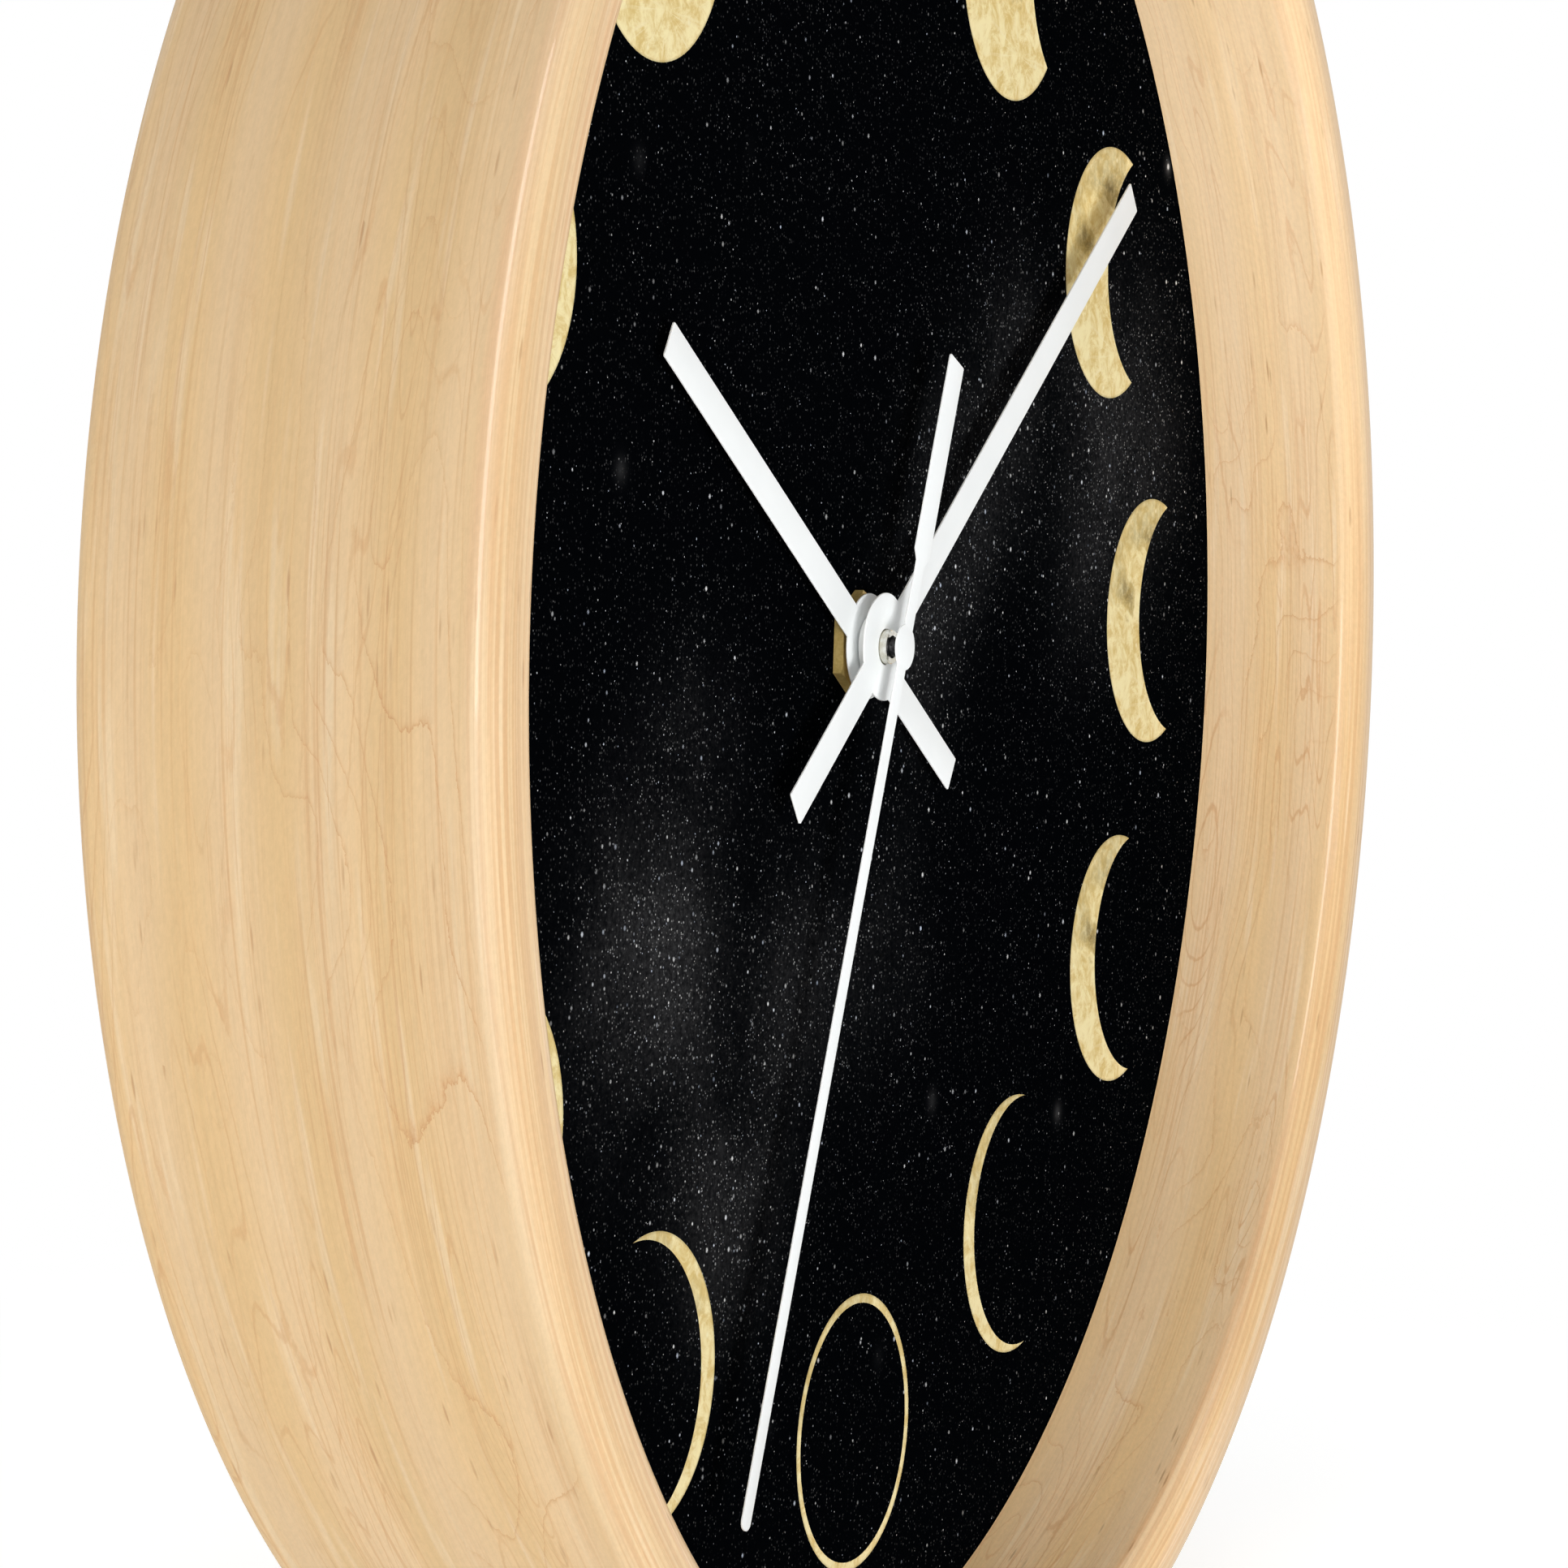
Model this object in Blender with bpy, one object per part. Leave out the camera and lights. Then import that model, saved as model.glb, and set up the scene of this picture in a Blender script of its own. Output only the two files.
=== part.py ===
"""Moon phase wall clock, 10 inches across, with a quartz movement.

A hoop of bent maple holds a black printed dial 22 mm below its front edge. The movement
is clamped to the dial board by a brass nut, and the whole clock hangs by a steel plate
that is held under that nut. Sizes are in metres. The origin is the nail in the wall:
x points right, y points into the wall, whose face is y = 0, and z points up.
"""

import math

import bmesh
import bpy
from mathutils import Vector

# Hoop
HOOP_DIAMETER = 0.254
HOOP_WALL = 0.0085
HOOP_DEPTH = 0.0442
RIM_ROUND = 0.00375
BACK_EDGE = 0.0008
REBATE = 0.003

# Dial and what clamps to it
DIAL_RECESS = 0.022
SHEET_THICKNESS = 0.0004
BOARD_THICKNESS = 0.0025
BLOCK_LENGTH = 0.018
BLOCK_WIDTH = 0.007
BLOCK_HEIGHT = 0.008
BLOCK_COUNT = 4
NUT_FLATS = 0.011
NUT_THICKNESS = 0.0012
RUBBER_RADIUS = 0.009
RUBBER_THICKNESS = 0.0005

# Gaps
SEAT_GAP = 0.0003
HUB_GAP = 0.00015
RUN_CLEARANCE = 0.0002

# Hanger plate
HANGER_THICKNESS = 0.0006
HANGER_WIDTH = 0.024
HANGER_TAIL = 0.011
HANGER_RISE = 0.010
HANGER_HEAD = 0.016
HANGER_WALL_GAP = 0.0035
NAIL_SLOT_RADIUS = 0.0024
NAIL_HEAD_RADIUS = 0.0048
NAIL_SLOT_RISE = 0.0065
NAIL_TOP_LAND = 0.0035

# Movement case
CASE_SIDE = 0.056
CASE_DEPTH = 0.0155
CASE_CORNER = 0.005
CASE_WALL = 0.0012
CASE_FLOOR = 0.001
CASE_FRONT_DEPTH = 0.010
BUSH_RADIUS = 0.004
BUSH_BEYOND_NUT = 0.0001
BOSS_RADIUS = 0.0012
BOSS_HEIGHT = 0.001
POST_RADIUS = 0.0012
THIRD_POST_BEARING = 21.0
MOTION_POST_BEARING = 58.0
CENTRE_POST_BEARING = 218.0
BOARD_POST_LOW = 0.004
BOARD_POST_HIGH = 0.005

# Central arbors
HOUR_TUBE_RADIUS = 0.00265
HOUR_TUBE_WALL = 0.00045
MINUTE_TUBE_RADIUS = 0.0019
MINUTE_NECK_RADIUS = 0.0016
MINUTE_BORE_RADIUS = 0.0008
ARBOR_RADIUS = 0.0005
SOCKET_RADIUS = 0.0013
SOCKET_DEPTH = 0.0014

# Hands
HAND_WIDTH = 0.0042
HAND_TAIL = 0.0295
HAND_THICKNESS = 0.00045
HAND_CORNER = 0.0005
HOUR_LENGTH = 0.062
HOUR_HUB_RADIUS = 0.006
HOUR_TURN = 299.5
MINUTE_LENGTH = 0.095
MINUTE_HUB_RADIUS = 0.0061
MINUTE_COLLAR_RADIUS = 0.00365
MINUTE_COLLAR_HEIGHT = 0.0014
MINUTE_TUBE_BEYOND_HAND = 0.0008
MINUTE_TURN = 51.9
SECOND_LENGTH = 0.1014
SECOND_WIDTH = 0.0022
SECOND_TAIL = 0.0355
SECOND_NECK = 0.0103
SECOND_CAP_RADIUS = 0.0026
SECOND_TIP_ROUND = 0.00099
SECOND_RISE = 0.00245
SECOND_TUBE_RADIUS = 0.0011
SECOND_TURN = 200.7

# Gear train: module, teeth and thickness
TRAIN_MODULE = 0.0003
ROTOR_MODULE = 0.00025
MOTION_MODULE = 0.000375
SECONDS_WHEEL_TEETH = 60
SECONDS_PINION_TEETH = 8
THIRD_WHEEL_TEETH = 60
THIRD_PINION_TEETH = 8
CENTRE_WHEEL_TEETH = 64
MINUTE_PINION_TEETH = 12
MOTION_WHEEL_TEETH = 36
MOTION_PINION_TEETH = 10
HOUR_WHEEL_TEETH = 40
STEP_WHEEL_TEETH = 50
STEP_PINION_TEETH = 10
ROTOR_PINION_TEETH = 10
WHEEL_THICKNESS = 0.0008
WHEEL_TRIM = 0.00005
MOTION_POST_RADIUS = 0.0007
THIRD_BEARING = 0.0
STEP_BEARING = 62.0
ROTOR_BEARING = 15.0
MOTION_BEARING = 135.0
MAGNET_RADIUS = 0.003
MAGNET_LENGTH = 0.002

# Plates, coil and electronics
TRAIN_PLATE_THICKNESS = 0.0008
TRAIN_PLATE_MARGIN = 0.0022
STATOR_THICKNESS = 0.001
STATOR_RIM = 0.0013
STATOR_LENGTH = 0.018
STATOR_ARM = 0.003
STATOR_EDGE_GAP = 0.0014
COIL_RADIUS = 0.0032
BOBBIN_WALL = 0.0005
CORE_WIDTH = 0.0026
BOARD_STRIP_THICKNESS = 0.0008
BOARD_STRIP_WIDTH = 0.0115
CHIP_RADIUS = 0.0028
CHIP_HEIGHT = 0.001
CHIP_TOP_SHARE = 0.6
CHIP_SHOULDER_SHARE = 0.8
CHIP_EDGE_SHARE = 0.3
CRYSTAL_RADIUS = 0.001
CRYSTAL_LENGTH = 0.006

# Setting knob
KNOB_RADIUS = 0.007
KNOB_THICKNESS = 0.0018
KNOB_RIDGES = 30
KNOB_RIDGE_DEPTH = 0.0003
KNOB_STEM_RADIUS = 0.0012
KNOB_CUP_WALL = 0.0008

# AA cell and its contacts
CELL_RADIUS = 0.0071
CELL_LENGTH = 0.0505
CELL_NUB_RADIUS = 0.00275
CELL_NUB_HEIGHT = 0.0014
CELL_EDGE = 0.0005
CONTACT_THICKNESS = 0.0004
CONTACT_WIDTH = 0.008
CONTACT_BOW = 0.0011

# Facets
RIM_STEPS = 5
HOOP_SEGMENTS = 96
DISC_SEGMENTS = 72
HUB_SEGMENTS = 32
ARBOR_SEGMENTS = 12
CORNER_STEPS = 4
SMOOTH_BELOW = 30.0

# Radii that follow
HOOP_RADIUS = HOOP_DIAMETER / 2
HOOP_BORE = HOOP_RADIUS - HOOP_WALL
REBATE_RADIUS = HOOP_BORE + REBATE
BOARD_RADIUS = REBATE_RADIUS - SEAT_GAP
BOARD_HOLE = BUSH_RADIUS + SEAT_GAP
BUSH_BORE = HOUR_TUBE_RADIUS + SEAT_GAP
HOUR_TUBE_BORE = HOUR_TUBE_RADIUS - HOUR_TUBE_WALL
PIVOT_HOLE = ARBOR_RADIUS + RUN_CLEARANCE

# Depths, from the dial back to the wall
DIAL_Y = DIAL_RECESS - HOOP_DEPTH
SHEET_BACK = DIAL_Y + SHEET_THICKNESS
BOARD_FRONT = SHEET_BACK + SEAT_GAP
BOARD_BACK = BOARD_FRONT + BOARD_THICKNESS
RUBBER_FRONT = BOARD_BACK + SEAT_GAP
RUBBER_BACK = RUBBER_FRONT + RUBBER_THICKNESS
HANGER_FRONT = RUBBER_BACK + SEAT_GAP
HANGER_BACK = HANGER_FRONT + HANGER_THICKNESS
CASE_Y = HANGER_BACK + SEAT_GAP
CASE_BACK = CASE_Y + CASE_DEPTH
CASE_SPLIT = CASE_Y + CASE_FRONT_DEPTH
CASE_INNER = CASE_BACK - CASE_FLOOR
FLOOR_Y = CASE_Y + CASE_FLOOR

# Depths, from the dial out to the hands
NUT_BACK = DIAL_Y - HUB_GAP
NUT_FRONT = NUT_BACK - NUT_THICKNESS
BUSH_END = NUT_FRONT - BUSH_BEYOND_NUT
HOUR_BACK = BUSH_END - RUN_CLEARANCE
HOUR_FRONT = HOUR_BACK - HAND_THICKNESS
HOUR_TUBE_END = HOUR_FRONT + HUB_GAP
COLLAR_BACK = HOUR_FRONT - RUN_CLEARANCE
MINUTE_BACK = COLLAR_BACK - MINUTE_COLLAR_HEIGHT
MINUTE_FRONT = MINUTE_BACK - HAND_THICKNESS
MINUTE_TUBE_END = MINUTE_FRONT - MINUTE_TUBE_BEYOND_HAND
SECOND_FRONT = MINUTE_FRONT - SECOND_RISE
SECOND_BACK = SECOND_FRONT + HAND_THICKNESS
SECOND_TUBE_FRONT = SECOND_BACK + HUB_GAP
SECOND_TUBE_BACK = MINUTE_TUBE_END + SOCKET_DEPTH - RUN_CLEARANCE
ARBOR_FRONT = (SECOND_TUBE_FRONT + MINUTE_TUBE_END) / 2

# Gear layers, from the case floor to the back
HOUR_LAYER = FLOOR_Y + SEAT_GAP
MOTION_LAYER = HOUR_LAYER + WHEEL_THICKNESS + SEAT_GAP
CENTRE_LAYER = MOTION_LAYER + WHEEL_THICKNESS + SEAT_GAP
THIRD_LAYER = CENTRE_LAYER + WHEEL_THICKNESS + SEAT_GAP
SECONDS_LAYER = THIRD_LAYER + WHEEL_THICKNESS + SEAT_GAP
STEP_LAYER = SECONDS_LAYER + WHEEL_THICKNESS + SEAT_GAP
MAGNET_LAYER = STEP_LAYER + WHEEL_THICKNESS + SEAT_GAP
STATOR_LAYER = MAGNET_LAYER + (MAGNET_LENGTH - STATOR_THICKNESS) / 2
PLATE_LAYER = MAGNET_LAYER + MAGNET_LENGTH + SEAT_GAP
PLATE_BACK = PLATE_LAYER + TRAIN_PLATE_THICKNESS
ARBOR_BACK = PLATE_BACK - RUN_CLEARANCE / 2
ARBOR_SEAT = FLOOR_Y + RUN_CLEARANCE

# The hanger reaches from under the nut to the nail
CASE_HALF = CASE_SIDE / 2
CASE_INSIDE = CASE_HALF - CASE_WALL
HANGER_KNEE = CASE_HALF + 2 * SEAT_GAP + HANGER_THICKNESS
HANGER_SHOULDER = HANGER_KNEE + HANGER_RISE
HANGER_TOP = HANGER_SHOULDER + HANGER_HEAD
NAIL_HEIGHT = HANGER_TOP - NAIL_TOP_LAND - NAIL_SLOT_RADIUS
HANGER_HEAD_Y = -HANGER_WALL_GAP
CLOCK_AXIS_Z = -NAIL_HEIGHT

# The cell lies in a bay along the bottom of the case
CELL_Z = -(CASE_INSIDE - SEAT_GAP - CELL_RADIUS)
CELL_Y = FLOOR_Y + SEAT_GAP + CELL_RADIUS
BAY_TOP = CELL_Z + CELL_RADIUS + SEAT_GAP
BAY_WALL_TOP = BAY_TOP + CASE_FLOOR
CONTACT_PLATE_X = CASE_INSIDE - SEAT_GAP
CELL_TIP_X = CONTACT_PLATE_X - CONTACT_THICKNESS - SEAT_GAP
CELL_BASE_X = CELL_TIP_X - CELL_LENGTH


def on_bearing(start, degrees, distance):
    """The point at a distance from start, at an angle from +x towards +z."""
    angle = math.radians(degrees)
    return (start[0] + distance * math.cos(angle), start[1] + distance * math.sin(angle))


def meshing_distance(module, teeth_a, teeth_b):
    """How far apart two gears of one module stand."""
    return module * (teeth_a + teeth_b) / 2


def meshing_module(distance, teeth_a, teeth_b):
    """The module of a pair that has to stand this far apart."""
    return 2 * distance / (teeth_a + teeth_b)


# Where the arbors stand, from the clock's axis
CENTRE = (0.0, 0.0)
THIRD_DISTANCE = meshing_distance(TRAIN_MODULE, SECONDS_PINION_TEETH, THIRD_WHEEL_TEETH)
CENTRE_MODULE = meshing_module(THIRD_DISTANCE, THIRD_PINION_TEETH, CENTRE_WHEEL_TEETH)
STEP_DISTANCE = meshing_distance(TRAIN_MODULE, STEP_PINION_TEETH, SECONDS_WHEEL_TEETH)
ROTOR_DISTANCE = meshing_distance(ROTOR_MODULE, ROTOR_PINION_TEETH, STEP_WHEEL_TEETH)
MOTION_DISTANCE = meshing_distance(MOTION_MODULE, MINUTE_PINION_TEETH, MOTION_WHEEL_TEETH)
HOUR_MODULE = meshing_module(MOTION_DISTANCE, MOTION_PINION_TEETH, HOUR_WHEEL_TEETH)
THIRD_ARBOR = on_bearing(CENTRE, THIRD_BEARING, THIRD_DISTANCE)
STEP_ARBOR = on_bearing(CENTRE, STEP_BEARING, STEP_DISTANCE)
ROTOR_ARBOR = on_bearing(STEP_ARBOR, ROTOR_BEARING, ROTOR_DISTANCE)
MOTION_ARBOR = on_bearing(CENTRE, MOTION_BEARING, MOTION_DISTANCE)
KNOB_ARBOR = on_bearing(MOTION_ARBOR, MOTION_BEARING, MOTION_DISTANCE)


# Scene and materials
def clear_scene():
    for old in list(bpy.data.objects):
        bpy.data.objects.remove(old, do_unlink=True)


def make_material(name, color, roughness, metallic=0.0):
    mat = bpy.data.materials.new(name)
    mat.use_nodes = True
    shader = mat.node_tree.nodes["Principled BSDF"]
    shader.inputs["Base Color"].default_value = (*color, 1.0)
    shader.inputs["Roughness"].default_value = roughness
    shader.inputs["Metallic"].default_value = metallic
    return mat


# Outlines in the x, z plane
def circle(radius, segments, centre=CENTRE):
    turn = 2 * math.pi / segments
    return [on_bearing(centre, math.degrees(i * turn), radius) for i in range(segments)]


def filleted(corners, steps=CORNER_STEPS):
    """An outline from corners (x, z, radius), going round anticlockwise."""
    points = []
    for i, (x, z, radius) in enumerate(corners):
        here = Vector((x, z))
        if radius == 0:
            points.append((x, z))
            continue
        before = (Vector(corners[i - 1][:2]) - here).normalized()
        after = (Vector(corners[(i + 1) % len(corners)][:2]) - here).normalized()
        half = before.angle(after) / 2
        middle = here + (before + after).normalized() * (radius / math.sin(half))
        start = here + before * (radius / math.tan(half)) - middle
        end = here + after * (radius / math.tan(half)) - middle
        sweep = start.angle_signed(end)
        first = math.atan2(start.y, start.x)
        for step in range(steps + 1):
            angle = first - sweep * step / steps
            points.append((middle.x + radius * math.cos(angle), middle.y + radius * math.sin(angle)))
    return points


def box_outline(x0, x1, z0, z1, corner=0.0):
    return filleted([(x0, z0, corner), (x1, z0, corner), (x1, z1, corner), (x0, z1, corner)])


def hull_outline(centres, margin, segments=ARBOR_SEGMENTS * 2):
    """The outline of a belt drawn tight round equal circles."""
    points = sorted(p for centre in centres for p in circle(margin, segments, centre))

    def chain(ordered):
        path = []
        for p in ordered:
            while len(path) > 1:
                a, b = path[-2], path[-1]
                if (b[0] - a[0]) * (p[1] - a[1]) - (b[1] - a[1]) * (p[0] - a[0]) > 0:
                    break
                path.pop()
            path.append(p)
        return path[:-1]

    return chain(points) + chain(points[::-1])


# Shapes of a tooth, as shares of the module or of the pitch
ADDENDUM = 0.85
DEDENDUM = 1.2
TOOTH_SHARE_PITCH = 0.40
TOOTH_SHARE_TIP = 0.17
TOOTH_SHARE_ROOT = 0.52
MOST_PINION_TEETH = 12


def gear_outline(teeth, module, phase=0.0):
    """A gear's outline, its first tooth turned by the phase, which counts whole teeth.

    A wheel's flanks are straight, and a pinion's have one more point at the pitch circle.
    """
    pitch_radius = teeth * module / 2
    levels = (
        (pitch_radius - DEDENDUM * module, TOOTH_SHARE_ROOT),
        (pitch_radius, TOOTH_SHARE_PITCH),
        (pitch_radius + ADDENDUM * module, TOOTH_SHARE_TIP),
    )
    if teeth > MOST_PINION_TEETH:
        levels = (levels[0], levels[2])
    points = []
    for tooth in range(teeth):
        for side, order in ((-1, levels), (1, levels[::-1])):
            for radius, share in order:
                angle = 360 * (tooth + phase + side * share / 2) / teeth
                points.append(on_bearing(CENTRE, angle, radius))
    return points


def mating_phase(teeth_a, phase_a, bearing, teeth_b):
    """The phase of gear b, on the bearing from gear a, that puts its gap on a's tooth."""
    share_a = bearing * teeth_a / 360 - phase_a
    return (bearing + 180) * teeth_b / 360 - (0.5 - share_a)


# Meshes
def plate(outline, y0, y1, holes=()):
    """A flat piece between two depths, with its outline and holes in x and z."""
    bm = bmesh.new()
    for loop in (outline, *holes):
        verts = [bm.verts.new((x, y0, z)) for x, z in loop]
        for a, b in zip(verts, verts[1:] + verts[:1]):
            bm.edges.new((a, b))
    filled = bmesh.ops.triangle_fill(bm, use_beauty=True, edges=bm.edges[:])
    faces = [g for g in filled["geom"] if isinstance(g, bmesh.types.BMFace)]
    grown = bmesh.ops.extrude_face_region(bm, geom=faces, use_keep_orig=True)
    moved = [g for g in grown["geom"] if isinstance(g, bmesh.types.BMVert)]
    bmesh.ops.translate(bm, verts=moved, vec=(0, y1 - y0, 0))
    bmesh.ops.recalc_face_normals(bm, faces=bm.faces[:])
    return bm


def turned(profile, segments, closed=True, along_x=False):
    """A turned piece from a profile of (radius, depth), round the y or the x axis."""
    bm = bmesh.new()
    axis = (1, 0, 0) if along_x else (0, 1, 0)
    verts = [bm.verts.new((d, 0, r) if along_x else (r, d, 0)) for r, d in profile]
    ends = verts[1:] + verts[:1] if closed else verts[1:]
    edges = [bm.edges.new(pair) for pair in zip(verts, ends)]
    bmesh.ops.spin(
        bm, geom=verts + edges, cent=(0, 0, 0), axis=axis, angle=2 * math.pi,
        steps=segments, use_merge=True, use_duplicate=False,
    )
    bmesh.ops.remove_doubles(bm, verts=bm.verts[:], dist=1e-7)
    bmesh.ops.recalc_face_normals(bm, faces=bm.faces[:])
    return bm


def rod(radius, y0, y1, segments=ARBOR_SEGMENTS, centre=CENTRE):
    return plate(circle(radius, segments, centre), y0, y1)


def merged(*parts):
    """Several meshes in one, for cutters and posts that stand apart from each other."""
    whole = bmesh.new()
    for part in parts:
        mesh = bpy.data.meshes.new("part")
        part.to_mesh(mesh)
        part.free()
        whole.from_mesh(mesh)
        bpy.data.meshes.remove(mesh)
    return whole


def add_piece(name, bm, mat, centre=CENTRE, turn=0.0, frame=None):
    """An object whose origin lies on its own axis, in front of or behind the dial."""
    mesh = bpy.data.meshes.new(name)
    bm.to_mesh(mesh)
    bm.free()
    mesh.materials.append(mat)
    mesh.shade_smooth()
    mesh.set_sharp_from_angle(angle=math.radians(SMOOTH_BELOW))
    piece = bpy.data.objects.new(name, mesh)
    bpy.context.collection.objects.link(piece)
    piece.parent = frame
    piece.location = (centre[0], 0, centre[1])
    piece.rotation_euler.y = math.radians(turn)
    return piece


def shape_with(piece, operation, bm):
    """Unite a piece with a mesh, or cut the mesh out of it, by a Boolean modifier."""
    order = len(piece.modifiers)
    name = f"{piece.name}.{operation.lower()}{order}"
    tool = add_piece(name, bm, piece.data.materials[0], frame=piece)
    tool.location = (0, 0, 0)
    tool.hide_render = True
    tool.display_type = "WIRE"
    cut = piece.modifiers.new(name, "BOOLEAN")
    cut.operation = operation
    cut.solver = "EXACT"
    cut.object = tool


# The wooden case and the dial
def quarter_round(centre_r, centre_y, radius, start):
    return [
        (
            centre_r + radius * math.cos(math.radians(start + 90 * i / RIM_STEPS)),
            centre_y + radius * math.sin(math.radians(start + 90 * i / RIM_STEPS)),
        )
        for i in range(RIM_STEPS + 1)
    ]


def make_hoop(mat, frame):
    front = -HOOP_DEPTH + RIM_ROUND
    step = DIAL_Y - SEAT_GAP
    inner_round = quarter_round(HOOP_BORE + RIM_ROUND, front, RIM_ROUND, 180)
    outer_round = quarter_round(HOOP_RADIUS - RIM_ROUND, front, RIM_ROUND, 270)
    back = [
        (HOOP_RADIUS, -BACK_EDGE),
        (HOOP_RADIUS - BACK_EDGE, 0),
        (REBATE_RADIUS, 0),
        (REBATE_RADIUS, step),
        (HOOP_BORE, step),
    ]
    profile = inner_round + outer_round + back
    return add_piece("wood_hoop", turned(profile, HOOP_SEGMENTS), mat, frame=frame)


def make_dial(sheet_mat, board_mat, frame):
    rim = circle(BOARD_RADIUS, DISC_SEGMENTS)
    hole = circle(BOARD_HOLE, HUB_SEGMENTS)
    add_piece("dial_sheet", plate(rim, DIAL_Y, SHEET_BACK, [hole]), sheet_mat, frame=frame)
    add_piece("dial_board", plate(rim, BOARD_FRONT, BOARD_BACK, [hole]), board_mat, frame=frame)


def make_blocks(mat, frame):
    """Wooden blocks glued into the corner between the board's back and the hoop."""
    fit = REBATE_RADIUS - SEAT_GAP
    outside = math.sqrt(fit**2 - (BLOCK_LENGTH / 2) ** 2)
    inside = outside - BLOCK_WIDTH
    front = BOARD_BACK + SEAT_GAP
    half = BLOCK_LENGTH / 2
    outline = box_outline(-half, half, inside, outside)
    for i in range(BLOCK_COUNT):
        turn = 360 * (i + 0.5) / BLOCK_COUNT
        block = plate(outline, front, front + BLOCK_HEIGHT)
        add_piece(f"glue_block_{i + 1}", block, mat, turn=turn, frame=frame)


def make_nut(mat, frame):
    corner = NUT_FLATS / math.sqrt(3)
    hexagon = [on_bearing(CENTRE, 30 + 60 * i, corner) for i in range(6)]
    bore = circle(BUSH_RADIUS + HUB_GAP, HUB_SEGMENTS)
    add_piece("hex_nut", plate(hexagon, NUT_FRONT, NUT_BACK, [bore]), mat, frame=frame)


def make_rubber_washer(mat, frame):
    rim = circle(RUBBER_RADIUS, HUB_SEGMENTS)
    hole = circle(BOARD_HOLE, HUB_SEGMENTS)
    washer = plate(rim, RUBBER_FRONT, RUBBER_BACK, [hole])
    add_piece("rubber_washer", washer, mat, frame=frame)


def keyhole_outline():
    """A round hole for the nail's head, with a slot above it for the shank."""
    low = NAIL_HEIGHT - NAIL_SLOT_RISE
    reach = math.degrees(math.asin(NAIL_SLOT_RADIUS / NAIL_HEAD_RADIUS))
    sweep = 360 - 2 * reach
    steps = HUB_SEGMENTS // 2
    points = []
    for i in range(steps + 1):
        angle = 90 + reach + sweep * i / steps
        points.append(on_bearing((0, low), angle, NAIL_HEAD_RADIUS))
    top_steps = 2 * CORNER_STEPS
    for i in range(top_steps + 1):
        points.append(on_bearing((0, NAIL_HEIGHT), 180 * i / top_steps, NAIL_SLOT_RADIUS))
    return points


def make_hanger(mat, frame):
    """A steel strip, flat under the nut, that leans back over the case to the nail."""
    half = HANGER_WIDTH / 2
    back = HANGER_HEAD_Y
    front = back - HANGER_THICKNESS
    side = [
        (HANGER_FRONT, -HANGER_TAIL),
        (HANGER_BACK, -HANGER_TAIL),
        (HANGER_BACK, HANGER_KNEE - HANGER_THICKNESS),
        (back, HANGER_SHOULDER - HANGER_THICKNESS),
        (back, HANGER_TOP),
        (front, HANGER_TOP),
        (front, HANGER_SHOULDER),
        (HANGER_FRONT, HANGER_KNEE),
    ]
    bm = bmesh.new()
    left = [bm.verts.new((-half, y, z)) for y, z in side]
    face = bm.faces.new(left)
    grown = bmesh.ops.extrude_face_region(bm, geom=[face], use_keep_orig=True)
    moved = [g for g in grown["geom"] if isinstance(g, bmesh.types.BMVert)]
    bmesh.ops.translate(bm, verts=moved, vec=(HANGER_WIDTH, 0, 0))
    bmesh.ops.recalc_face_normals(bm, faces=bm.faces[:])
    hanger = add_piece("hanger_plate", bm, mat, frame=frame)
    overshoot = HANGER_THICKNESS
    bush_hole = rod(BOARD_HOLE, HANGER_FRONT - overshoot, HANGER_BACK + overshoot, HUB_SEGMENTS)
    shape_with(hanger, "DIFFERENCE", bush_hole)
    nail_hole = plate(keyhole_outline(), front - overshoot, back + overshoot)
    shape_with(hanger, "DIFFERENCE", nail_hole)


# The movement case
def case_outline(inset=0.0):
    half = CASE_HALF - inset
    return box_outline(-half, half, -half, half, CASE_CORNER - inset)


def plate_posts():
    """Where the posts that carry the train plate stand, clear of every wheel."""
    clear = POST_RADIUS + 2 * SEAT_GAP
    third_tip = tip_radius(THIRD_WHEEL_TEETH, TRAIN_MODULE) + clear
    centre_tip = tip_radius(CENTRE_WHEEL_TEETH, CENTRE_MODULE) + clear
    motion_tip = tip_radius(MOTION_WHEEL_TEETH, MOTION_MODULE) + clear
    right = on_bearing(THIRD_ARBOR, THIRD_POST_BEARING, third_tip)
    upper = on_bearing(MOTION_ARBOR, MOTION_POST_BEARING, motion_tip)
    lower = on_bearing(CENTRE, CENTRE_POST_BEARING, centre_tip)
    return [right, upper, lower]


def board_posts():
    x = -CASE_INSIDE + SEAT_GAP + BOARD_STRIP_WIDTH / 2
    return [(x, BAY_WALL_TOP + BOARD_POST_LOW), (x, CASE_INSIDE - BOARD_POST_HIGH)]


def tip_radius(teeth, module):
    return teeth * module / 2 + ADDENDUM * module


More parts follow.
